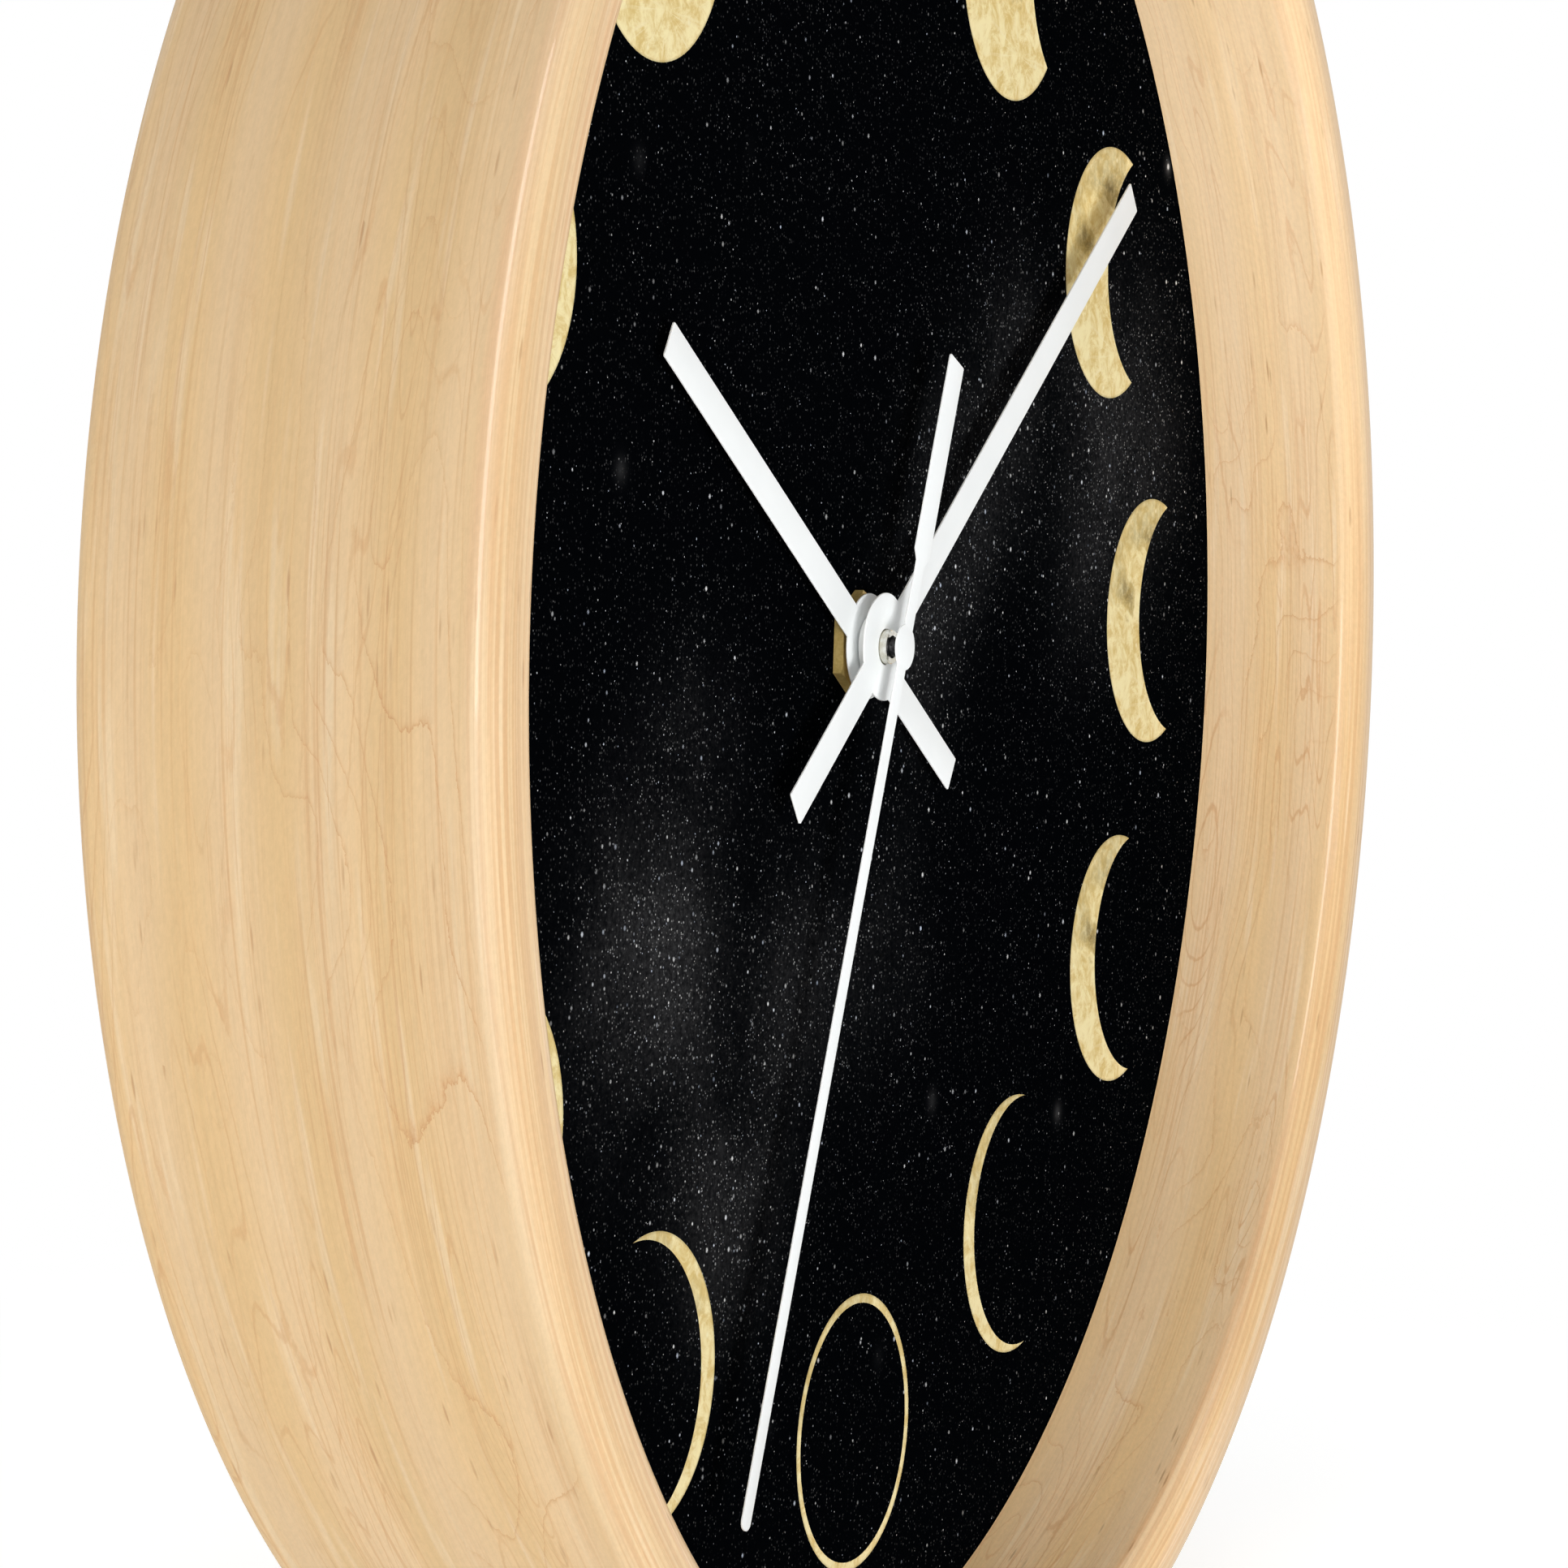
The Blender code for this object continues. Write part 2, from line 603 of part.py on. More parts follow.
def make_case_front(mat, frame):
    front = add_piece("movement_front", plate(case_outline(), CASE_Y, CASE_SPLIT), mat, frame=frame)
    inside = plate(case_outline(CASE_WALL), FLOOR_Y, CASE_SPLIT + SEAT_GAP)
    shape_with(front, "DIFFERENCE", inside)
    inner = CASE_Y + CASE_FLOOR / 2
    bosses = [THIRD_ARBOR, STEP_ARBOR]
    boss_top = FLOOR_Y + BOSS_HEIGHT
    pillar_top = STEP_LAYER - SEAT_GAP
    strip_top = PLATE_LAYER - SEAT_GAP
    posts = [
        rod(BUSH_RADIUS, BUSH_END, inner, HUB_SEGMENTS),
        rod(MOTION_POST_RADIUS, inner, MOTION_LAYER + WHEEL_THICKNESS, ARBOR_SEGMENTS, MOTION_ARBOR),
        rod(BOSS_RADIUS, inner, pillar_top, ARBOR_SEGMENTS, ROTOR_ARBOR),
        rod(2 * KNOB_STEM_RADIUS, inner, MOTION_LAYER - SEAT_GAP, 2 * ARBOR_SEGMENTS, KNOB_ARBOR),
    ]
    posts += [rod(BOSS_RADIUS, inner, boss_top, ARBOR_SEGMENTS, at) for at in bosses]
    posts += [rod(POST_RADIUS, inner, strip_top, ARBOR_SEGMENTS, at) for at in plate_posts()]
    posts += [rod(POST_RADIUS, inner, strip_top, ARBOR_SEGMENTS, at) for at in board_posts()]
    shape_with(front, "UNION", merged(*posts))
    stem_hole = KNOB_STEM_RADIUS + RUN_CLEARANCE
    bores = [
        rod(BUSH_BORE, BUSH_END - SEAT_GAP, FLOOR_Y + SEAT_GAP, HUB_SEGMENTS),
        rod(PIVOT_HOLE, pillar_top - BOSS_HEIGHT, pillar_top + SEAT_GAP, ARBOR_SEGMENTS, ROTOR_ARBOR),
        rod(stem_hole, FLOOR_Y, MOTION_LAYER, 2 * ARBOR_SEGMENTS, KNOB_ARBOR),
    ]
    bores += [rod(PIVOT_HOLE, FLOOR_Y, boss_top + SEAT_GAP, ARBOR_SEGMENTS, at) for at in bosses]
    shape_with(front, "DIFFERENCE", merged(*bores))


def make_case_back(mat, frame):
    half = CASE_INSIDE
    bay = box_outline(-half, half, -half, BAY_TOP, CASE_CORNER - CASE_WALL)
    start = CASE_SPLIT + SEAT_GAP
    cover = plate(case_outline(), start, CASE_BACK, [bay])
    back = add_piece("movement_back", cover, mat, frame=frame)
    chamber = box_outline(-half, half, BAY_WALL_TOP, half, CASE_CORNER - CASE_WALL)
    shape_with(back, "DIFFERENCE", plate(chamber, start - SEAT_GAP, CASE_INNER))
    wall_half = half - SEAT_GAP
    wall = box_outline(-wall_half, wall_half, BAY_TOP, BAY_WALL_TOP)
    shape_with(back, "UNION", plate(wall, FLOOR_Y + SEAT_GAP, start + SEAT_GAP))
    recess = KNOB_RADIUS + SEAT_GAP
    recess_floor = CASE_BACK - KNOB_THICKNESS - SEAT_GAP
    cup_radius = recess + KNOB_CUP_WALL
    cup = rod(cup_radius, recess_floor - KNOB_CUP_WALL, CASE_INNER + SEAT_GAP, HUB_SEGMENTS, KNOB_ARBOR)
    shape_with(back, "UNION", cup)
    stem_hole = KNOB_STEM_RADIUS + RUN_CLEARANCE
    hole_start = recess_floor - 2 * KNOB_CUP_WALL
    hollow = plate(circle(recess, HUB_SEGMENTS, KNOB_ARBOR), recess_floor, CASE_BACK + SEAT_GAP)
    shape_with(back, "DIFFERENCE", hollow)
    bore = rod(stem_hole, hole_start, recess_floor + SEAT_GAP, 2 * ARBOR_SEGMENTS, KNOB_ARBOR)
    shape_with(back, "DIFFERENCE", bore)


def make_train_plate(mat, frame):
    pivots = [CENTRE, THIRD_ARBOR, STEP_ARBOR, ROTOR_ARBOR]
    outline = hull_outline(pivots + plate_posts(), TRAIN_PLATE_MARGIN)
    holes = [circle(PIVOT_HOLE, ARBOR_SEGMENTS, at) for at in pivots]
    add_piece("train_plate", plate(outline, PLATE_LAYER, PLATE_BACK, holes), mat, frame=frame)


# The step motor
def make_motor(steel, plastic, copper, frame):
    hole = MAGNET_RADIUS + 2 * SEAT_GAP
    half_height = hole + STATOR_RIM
    left = ROTOR_ARBOR[0] - half_height
    right = left + STATOR_LENGTH
    low = ROTOR_ARBOR[1] - half_height
    high = ROTOR_ARBOR[1] + half_height
    top = CASE_INSIDE - STATOR_EDGE_GAP
    outline = [
        (left, low), (right, low), (right, top), (right - STATOR_ARM, top),
        (right - STATOR_ARM, high), (left + STATOR_ARM, high), (left + STATOR_ARM, top), (left, top),
    ]
    rotor_hole = circle(hole, HUB_SEGMENTS, ROTOR_ARBOR)
    stator = plate(outline, STATOR_LAYER, STATOR_LAYER + STATOR_THICKNESS, [rotor_hole])
    add_piece("stator_plate", stator, steel, frame=frame)

    core_front = STATOR_LAYER + STATOR_THICKNESS + SEAT_GAP
    core_back = core_front + STATOR_THICKNESS
    coil_y = (core_front + core_back) / 2
    flange = COIL_RADIUS + BOBBIN_WALL
    coil_z = top - flange
    core = box_outline(left, right, coil_z - CORE_WIDTH / 2, coil_z + CORE_WIDTH / 2)
    add_piece("coil_core", plate(core, core_front, core_back), steel, frame=frame)

    start = left + STATOR_ARM + SEAT_GAP
    end = right - STATOR_ARM - SEAT_GAP
    core_corner = math.hypot(CORE_WIDTH / 2, STATOR_THICKNESS / 2)
    bore = core_corner + RUN_CLEARANCE
    barrel = bore + BOBBIN_WALL
    spool = [
        (bore, start), (flange, start), (flange, start + BOBBIN_WALL), (barrel, start + BOBBIN_WALL),
        (barrel, end - BOBBIN_WALL), (flange, end - BOBBIN_WALL), (flange, end), (bore, end),
    ]
    bobbin = turned(spool, HUB_SEGMENTS // 2, along_x=True)
    wound = [
        (barrel + HUB_GAP, start + BOBBIN_WALL + HUB_GAP),
        (COIL_RADIUS, start + BOBBIN_WALL + HUB_GAP),
        (COIL_RADIUS, end - BOBBIN_WALL - HUB_GAP),
        (barrel + HUB_GAP, end - BOBBIN_WALL - HUB_GAP),
    ]
    winding = turned(wound, HUB_SEGMENTS // 2, along_x=True)
    for bm in (bobbin, winding):
        bmesh.ops.translate(bm, verts=bm.verts[:], vec=(0, coil_y, coil_z))
    add_piece("coil_bobbin", bobbin, plastic, frame=frame)
    add_piece("coil_winding", winding, copper, frame=frame)


# The electronics
def make_electronics(board_mat, chip_mat, can_mat, frame):
    left = -CASE_INSIDE + SEAT_GAP
    right = left + BOARD_STRIP_WIDTH
    low = BAY_WALL_TOP + SEAT_GAP
    high = CASE_INSIDE - SEAT_GAP
    back = PLATE_LAYER + BOARD_STRIP_THICKNESS
    outline = box_outline(left, right, low, high, CASE_CORNER - CASE_WALL)
    add_piece("circuit_board", plate(outline, PLATE_LAYER, back), board_mat, frame=frame)
    middle = (left + right) / 2
    seat = PLATE_LAYER - SEAT_GAP
    third = (high - low) / 3
    chip_at = (middle, low + third)
    dome = [
        (0, seat - CHIP_HEIGHT),
        (CHIP_RADIUS * CHIP_TOP_SHARE, seat - CHIP_HEIGHT * CHIP_SHOULDER_SHARE),
        (CHIP_RADIUS, seat - CHIP_HEIGHT * CHIP_EDGE_SHARE),
        (CHIP_RADIUS, seat),
        (0, seat),
    ]
    chip = turned(dome, HUB_SEGMENTS // 2, closed=False)
    add_piece("clock_chip", chip, chip_mat, chip_at, frame=frame)
    can = [
        (0, -CRYSTAL_LENGTH / 2), (CRYSTAL_RADIUS, -CRYSTAL_LENGTH / 2),
        (CRYSTAL_RADIUS, CRYSTAL_LENGTH / 2), (0, CRYSTAL_LENGTH / 2),
    ]
    crystal = turned(can, ARBOR_SEGMENTS, closed=False, along_x=True)
    bmesh.ops.translate(crystal, verts=crystal.verts[:], vec=(0, seat - CRYSTAL_RADIUS, 0))
    add_piece("quartz_crystal", crystal, can_mat, (middle, high - third), frame=frame)


# The AA cell and its contacts
def make_cell(mat, metal, frame):
    shoulder = CELL_TIP_X - CELL_NUB_HEIGHT
    profile = [
        (0, CELL_BASE_X),
        (CELL_RADIUS - CELL_EDGE, CELL_BASE_X),
        (CELL_RADIUS, CELL_BASE_X + CELL_EDGE),
        (CELL_RADIUS, shoulder - CELL_EDGE),
        (CELL_RADIUS - CELL_EDGE, shoulder),
        (CELL_NUB_RADIUS, shoulder),
        (CELL_NUB_RADIUS, CELL_TIP_X),
        (0, CELL_TIP_X),
    ]
    cell = turned(profile, HUB_SEGMENTS, closed=False, along_x=True)
    bmesh.ops.translate(cell, verts=cell.verts[:], vec=(0, CELL_Y, 0))
    add_piece("battery_cell", cell, mat, (0, CELL_Z), frame=frame)

    z0 = CELL_Z - CONTACT_WIDTH / 2
    z1 = CELL_Z + CONTACT_WIDTH / 2
    y0 = CELL_Y - CELL_RADIUS
    y1 = CASE_BACK - CASE_WALL
    plus = box_outline(CONTACT_PLATE_X - CONTACT_THICKNESS, CONTACT_PLATE_X, z0, z1)
    add_piece("positive_contact", plate(plus, y0, y1), metal, frame=frame)

    foot = -CONTACT_PLATE_X
    crest = foot + CONTACT_BOW
    path = [(foot, y0), (crest, CELL_Y - CELL_RADIUS / 3), (crest, CELL_Y + CELL_RADIUS / 3), (foot, y1)]
    bm = bmesh.new()
    near = [bm.verts.new((x, y, z0)) for x, y in path]
    far = [bm.verts.new((x + CONTACT_THICKNESS, y, z0)) for x, y in path[::-1]]
    face = bm.faces.new(near + far)
    grown = bmesh.ops.extrude_face_region(bm, geom=[face], use_keep_orig=True)
    moved = [g for g in grown["geom"] if isinstance(g, bmesh.types.BMVert)]
    bmesh.ops.translate(bm, verts=moved, vec=(0, 0, CONTACT_WIDTH))
    bmesh.ops.recalc_face_normals(bm, faces=bm.faces[:])
    add_piece("negative_contact", bm, metal, frame=frame)


# The gear train
def wheel(teeth, module, layer, phase=0.0, start=None):
    """A toothed disc one wheel thick, begun earlier where a pinion runs into its wheel."""
    y0 = layer if start is None else start
    return plate(gear_outline(teeth, module, phase), y0, layer + WHEEL_THICKNESS)


def make_motion_train(plastic, frame):
    """The hour wheel, the motion wheel between the hands, and the setting knob."""
    motion_phase = mating_phase(MINUTE_PINION_TEETH, 0.0, MOTION_BEARING, MOTION_WHEEL_TEETH)
    hour_bearing = MOTION_BEARING + 180
    hour_phase = mating_phase(MOTION_PINION_TEETH, 0.0, hour_bearing, HOUR_WHEEL_TEETH)
    knob_phase = mating_phase(MOTION_WHEEL_TEETH, motion_phase, MOTION_BEARING, MINUTE_PINION_TEETH)

    tube = [
        (HOUR_TUBE_BORE, HOUR_TUBE_END),
        (HOUR_TUBE_RADIUS, HOUR_TUBE_END),
        (HOUR_TUBE_RADIUS, HOUR_LAYER + WHEEL_THICKNESS),
        (HOUR_TUBE_BORE, HOUR_LAYER + WHEEL_THICKNESS),
    ]
    hour = add_piece("hour_wheel", turned(tube, HUB_SEGMENTS), plastic, frame=frame)
    teeth = gear_outline(HOUR_WHEEL_TEETH, HOUR_MODULE, hour_phase)
    inside_tube = circle((HOUR_TUBE_BORE + HOUR_TUBE_RADIUS) / 2, HUB_SEGMENTS)
    rim = plate(teeth, HOUR_LAYER, HOUR_LAYER + WHEEL_THICKNESS - WHEEL_TRIM, [inside_tube])
    shape_with(hour, "UNION", rim)

    teeth = wheel(MOTION_WHEEL_TEETH, MOTION_MODULE, MOTION_LAYER, motion_phase)
    motion = add_piece("motion_wheel", teeth, plastic, MOTION_ARBOR, frame=frame)
    pinion = gear_outline(MOTION_PINION_TEETH, HOUR_MODULE)
    shape_with(motion, "UNION", plate(pinion, HOUR_LAYER, MOTION_LAYER + WHEEL_THICKNESS / 2))
    bore = rod(MOTION_POST_RADIUS + RUN_CLEARANCE, HOUR_LAYER - SEAT_GAP, CENTRE_LAYER)
    shape_with(motion, "DIFFERENCE", bore)

    knob_front = CASE_BACK - KNOB_THICKNESS
    stem = rod(KNOB_STEM_RADIUS, ARBOR_SEAT, knob_front + KNOB_THICKNESS / 2, 2 * ARBOR_SEGMENTS)
    knob = add_piece("setting_knob", stem, plastic, KNOB_ARBOR, frame=frame)
    pinion = wheel(MINUTE_PINION_TEETH, MOTION_MODULE, MOTION_LAYER, knob_phase)
    ridged = [
        on_bearing(CENTRE, 360 * i / (2 * KNOB_RIDGES), KNOB_RADIUS - KNOB_RIDGE_DEPTH * (i % 2))
        for i in range(2 * KNOB_RIDGES)
    ]
    shape_with(knob, "UNION", merged(pinion, plate(ridged, knob_front, CASE_BACK)))


def make_minute_arbor(metal, plastic, frame):
    """The tube that carries the minute hand, with its pinion and the centre wheel."""
    neck_start = HOUR_LAYER + WHEEL_THICKNESS
    end = CENTRE_LAYER + WHEEL_THICKNESS
    socket = MINUTE_TUBE_END + SOCKET_DEPTH
    profile = [
        (SOCKET_RADIUS, MINUTE_TUBE_END),
        (MINUTE_TUBE_RADIUS, MINUTE_TUBE_END),
        (MINUTE_TUBE_RADIUS, neck_start),
        (MINUTE_NECK_RADIUS, neck_start),
        (MINUTE_NECK_RADIUS, end),
        (MINUTE_BORE_RADIUS, end),
        (MINUTE_BORE_RADIUS, socket),
        (SOCKET_RADIUS, socket),
    ]
    tube = add_piece("minute_tube", turned(profile, HUB_SEGMENTS), metal, frame=frame)
    ring = circle((MINUTE_BORE_RADIUS + MINUTE_NECK_RADIUS) / 2, HUB_SEGMENTS)
    teeth = gear_outline(MINUTE_PINION_TEETH, MOTION_MODULE)
    pinion = plate(teeth, MOTION_LAYER, MOTION_LAYER + WHEEL_THICKNESS, [ring])
    shape_with(tube, "UNION", pinion)
    hole = circle(MINUTE_NECK_RADIUS + HUB_GAP, HUB_SEGMENTS)
    phase = mating_phase(THIRD_PINION_TEETH, 0.0, THIRD_BEARING + 180, CENTRE_WHEEL_TEETH)
    teeth = gear_outline(CENTRE_WHEEL_TEETH, CENTRE_MODULE, phase)
    disc = plate(teeth, CENTRE_LAYER, CENTRE_LAYER + WHEEL_THICKNESS - WHEEL_TRIM, [hole])
    add_piece("centre_wheel", disc, plastic, frame=frame)


def make_third_wheel(plastic, frame):
    arbor = rod(ARBOR_RADIUS, ARBOR_SEAT, ARBOR_BACK)
    third = add_piece("third_wheel", arbor, plastic, THIRD_ARBOR, frame=frame)
    start = CENTRE_LAYER - SEAT_GAP / 2
    pinion = plate(gear_outline(THIRD_PINION_TEETH, CENTRE_MODULE), start, THIRD_LAYER + WHEEL_THICKNESS / 2)
    shape_with(third, "UNION", pinion)
    shape_with(third, "UNION", wheel(THIRD_WHEEL_TEETH, TRAIN_MODULE, THIRD_LAYER))


def make_seconds_arbor(metal, plastic, frame):
    """A steel arbor through the minute tube, with the seconds wheel moulded on it."""
    arbor = rod(ARBOR_RADIUS, ARBOR_FRONT, ARBOR_BACK)
    add_piece("seconds_arbor", arbor, metal, frame=frame)
    pinion_phase = mating_phase(THIRD_WHEEL_TEETH, 0.0, THIRD_BEARING + 180, SECONDS_PINION_TEETH)
    teeth = gear_outline(SECONDS_PINION_TEETH, TRAIN_MODULE, pinion_phase)
    bore = circle(ARBOR_RADIUS + HUB_GAP, ARBOR_SEGMENTS)
    pinion = plate(teeth, THIRD_LAYER, SECONDS_LAYER + WHEEL_THICKNESS / 2, [bore])
    seconds = add_piece("seconds_wheel", pinion, plastic, frame=frame)
    root = SECONDS_PINION_TEETH * TRAIN_MODULE / 2 - DEDENDUM * TRAIN_MODULE
    ring = circle((root + ARBOR_RADIUS + HUB_GAP) / 2, ARBOR_SEGMENTS)
    teeth = gear_outline(SECONDS_WHEEL_TEETH, TRAIN_MODULE)
    disc = plate(teeth, SECONDS_LAYER, SECONDS_LAYER + WHEEL_THICKNESS, [ring])
    shape_with(seconds, "UNION", disc)


def make_step_wheel(plastic, frame):
    arbor = rod(ARBOR_RADIUS, ARBOR_SEAT, ARBOR_BACK)
    step = add_piece("step_wheel", arbor, plastic, STEP_ARBOR, frame=frame)
    phase = mating_phase(SECONDS_WHEEL_TEETH, 0.0, STEP_BEARING, STEP_PINION_TEETH)
    teeth = gear_outline(STEP_PINION_TEETH, TRAIN_MODULE, phase)
    start = SECONDS_LAYER - SEAT_GAP / 2
    shape_with(step, "UNION", plate(teeth, start, STEP_LAYER + WHEEL_THICKNESS / 2))
    shape_with(step, "UNION", wheel(STEP_WHEEL_TEETH, ROTOR_MODULE, STEP_LAYER))


def make_rotor(magnet, frame):
    start = STEP_LAYER - SEAT_GAP - BOSS_HEIGHT + RUN_CLEARANCE
    rotor = add_piece("rotor", rod(ARBOR_RADIUS, start, ARBOR_BACK), magnet, ROTOR_ARBOR, frame=frame)
    phase = mating_phase(STEP_WHEEL_TEETH, 0.0, ROTOR_BEARING, ROTOR_PINION_TEETH)
    teeth = gear_outline(ROTOR_PINION_TEETH, ROTOR_MODULE, phase)
    middle = MAGNET_LAYER + MAGNET_LENGTH / 2
    shape_with(rotor, "UNION", plate(teeth, STEP_LAYER, middle))
    body = rod(MAGNET_RADIUS, MAGNET_LAYER, MAGNET_LAYER + MAGNET_LENGTH, 2 * ARBOR_SEGMENTS)
    shape_with(rotor, "UNION", body)


# The hands, drawn pointing to 12 and turned to the time
def hub_arc(radius, start_side, end_side):
    """The hub's edge on the right side, between two bars of unlike half widths."""
    first = math.degrees(math.asin(start_side / radius)) - 90
    last = 90 - math.degrees(math.asin(end_side / radius))
    steps = HUB_SEGMENTS // 2
    return [on_bearing(CENTRE, first + (last - first) * i / steps, radius) for i in range(steps + 1)]


def hand_side(length, half_width, tail, tail_half, hub_radius, tip_round, neck=None):
    """The right half of a hand's outline, from the tail's end up to the tip."""
    side = filleted([(0, -tail, 0), (tail_half, -tail, HAND_CORNER), (tail_half, 0, 0)])[:-1]
    near = tail_half if neck is None else half_width
    if neck is not None:
        shift = tail_half - half_width
        side += [(tail_half, -neck - shift), (half_width, -neck)]
    side += hub_arc(hub_radius, near, half_width)
    side += filleted([(half_width, 0, 0), (half_width, length, tip_round), (0, length, 0)])[1:]
    return side


def hand_outline(*sizes, **options):
    right = hand_side(*sizes, **options)
    left = [(-x, z) for x, z in right[::-1] if x > 0]
    return right + left


def make_hour_hand(mat, frame):
    half = HAND_WIDTH / 2
    outline = hand_outline(HOUR_LENGTH, half, HAND_TAIL, half, HOUR_HUB_RADIUS, HAND_CORNER)
    hole = circle(HOUR_TUBE_RADIUS + HUB_GAP, HUB_SEGMENTS)
    hand = plate(outline, HOUR_FRONT, HOUR_BACK, [hole])
    add_piece("hour_hand", hand, mat, turn=HOUR_TURN, frame=frame)


def make_minute_hand(mat, frame):
    half = HAND_WIDTH / 2
    outline = hand_outline(MINUTE_LENGTH, half, HAND_TAIL, half, MINUTE_HUB_RADIUS, HAND_CORNER)
    bore = MINUTE_TUBE_RADIUS + HUB_GAP
    hand = plate(outline, MINUTE_FRONT, MINUTE_BACK, [circle(bore, HUB_SEGMENTS)])
    hand = add_piece("minute_hand", hand, mat, turn=MINUTE_TURN, frame=frame)
    middle = (MINUTE_FRONT + MINUTE_BACK) / 2
    inner = circle((bore + MINUTE_COLLAR_RADIUS) / 2, HUB_SEGMENTS)
    collar = plate(circle(MINUTE_COLLAR_RADIUS, HUB_SEGMENTS), middle, COLLAR_BACK, [inner])
    shape_with(hand, "UNION", collar)


def make_second_hand(mat, tube_mat, frame):
    half = SECOND_WIDTH / 2
    tail_half = HAND_WIDTH / 2
    outline = hand_outline(
        SECOND_LENGTH, half, SECOND_TAIL, tail_half, SECOND_CAP_RADIUS, SECOND_TIP_ROUND, neck=SECOND_NECK,
    )
    hand = plate(outline, SECOND_FRONT, SECOND_BACK)
    add_piece("second_hand", hand, mat, turn=SECOND_TURN, frame=frame)
    bore = circle(ARBOR_RADIUS + HUB_GAP, ARBOR_SEGMENTS)
    rim = circle(SECOND_TUBE_RADIUS, 2 * ARBOR_SEGMENTS)
    tube = plate(rim, SECOND_TUBE_FRONT, SECOND_TUBE_BACK, [bore])
    add_piece("second_hand_tube", tube, tube_mat, turn=SECOND_TURN, frame=frame)


def build():
    clear_scene()
    clock = bpy.data.objects.new("clock_axis", None)
    bpy.context.collection.objects.link(clock)
    clock.location = (0, 0, CLOCK_AXIS_Z)

    maple = make_material("maple", (0.80, 0.58, 0.33), 0.45)
    print_black = make_material("dial_print", (0.004, 0.005, 0.007), 0.55)
    fibre_board = make_material("fibre_board", (0.33, 0.22, 0.13), 0.8)
    pine = make_material("block_wood", (0.66, 0.47, 0.27), 0.7)
    brass = make_material("nut_brass", (0.55, 0.42, 0.17), 0.3, 1.0)
    rubber = make_material("washer_rubber", (0.02, 0.02, 0.02), 0.85)
    zinc = make_material("hanger_steel", (0.62, 0.63, 0.64), 0.35, 1.0)
    case_black = make_material("case_plastic", (0.015, 0.015, 0.016), 0.5)
    gear_white = make_material("gear_plastic", (0.75, 0.75, 0.72), 0.4)
    plate_plastic = make_material("plate_plastic", (0.35, 0.36, 0.38), 0.5)
    lamination = make_material("motor_steel", (0.45, 0.45, 0.46), 0.4, 1.0)
    bobbin_plastic = make_material("bobbin_plastic", (0.7, 0.66, 0.55), 0.5)
    copper = make_material("coil_copper", (0.72, 0.30, 0.14), 0.35, 1.0)
    laminate = make_material("board_laminate", (0.28, 0.18, 0.07), 0.6)
    epoxy = make_material("chip_epoxy", (0.01, 0.01, 0.01), 0.3)
    can = make_material("crystal_can", (0.7, 0.7, 0.7), 0.25, 1.0)
    cell_sleeve = make_material("cell_sleeve", (0.05, 0.06, 0.07), 0.35)
    nickel = make_material("contact_nickel", (0.7, 0.68, 0.62), 0.3, 1.0)
    chrome = make_material("tube_chrome", (0.8, 0.8, 0.8), 0.1, 1.0)
    arbor_steel = make_material("arbor_steel", (0.5, 0.5, 0.5), 0.25, 1.0)
    magnet = make_material("rotor_magnet", (0.08, 0.08, 0.09), 0.5, 0.5)
    hand_white = make_material("hand_white", (0.90, 0.91, 0.91), 0.45)
    dark_metal = make_material("second_tube_metal", (0.06, 0.06, 0.065), 0.3, 1.0)

    make_hoop(maple, clock)
    make_dial(print_black, fibre_board, clock)
    make_blocks(pine, clock)
    make_nut(brass, clock)
    make_rubber_washer(rubber, clock)
    make_hanger(zinc, clock)
    make_case_front(case_black, clock)
    make_case_back(case_black, clock)
    make_train_plate(plate_plastic, clock)
    make_motor(lamination, bobbin_plastic, copper, clock)
    make_electronics(laminate, epoxy, can, clock)
    make_cell(cell_sleeve, nickel, clock)
    make_motion_train(gear_white, clock)
    make_minute_arbor(chrome, gear_white, clock)
    make_third_wheel(gear_white, clock)
    make_seconds_arbor(arbor_steel, gear_white, clock)
    make_step_wheel(gear_white, clock)
    make_rotor(magnet, clock)
    make_hour_hand(hand_white, clock)
    make_minute_hand(hand_white, clock)
    make_second_hand(hand_white, dark_metal, clock)


build()
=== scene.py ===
# %% [markdown]
# # Moon phase wall clock
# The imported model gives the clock's solids and joints, and this lesson gives it its looks.
# Every size below is in metres and is measured from the nail in the wall: x points right,
# y points into the wall and z points up, so the clock faces -y.

import math

import bmesh
import bpy
from mathutils import Matrix, Vector


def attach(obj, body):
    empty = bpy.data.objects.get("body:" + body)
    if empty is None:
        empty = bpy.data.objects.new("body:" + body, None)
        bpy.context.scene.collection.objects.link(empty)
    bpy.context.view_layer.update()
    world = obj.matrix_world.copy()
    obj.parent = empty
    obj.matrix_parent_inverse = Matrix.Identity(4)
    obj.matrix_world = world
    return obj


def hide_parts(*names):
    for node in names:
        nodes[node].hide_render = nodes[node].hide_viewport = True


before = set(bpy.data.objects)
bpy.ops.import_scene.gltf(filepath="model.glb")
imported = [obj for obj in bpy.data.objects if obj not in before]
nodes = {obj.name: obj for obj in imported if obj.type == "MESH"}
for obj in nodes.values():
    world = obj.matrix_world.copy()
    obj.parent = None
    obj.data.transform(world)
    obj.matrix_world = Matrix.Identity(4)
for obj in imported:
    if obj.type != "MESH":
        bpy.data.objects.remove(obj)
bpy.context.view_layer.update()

# %% Places that many pieces share
HOOP_RADIUS = 0.127
HOOP_BORE = 0.1185
HOOP_FRONT = -0.0442
DIAL_Y = -0.0222
AXIS_X, AXIS_Z = 0.0, -0.0493
CLOCK_AXIS = Vector((AXIS_X, DIAL_Y, AXIS_Z))
print("the hands turn round x", AXIS_X, "z", AXIS_Z)

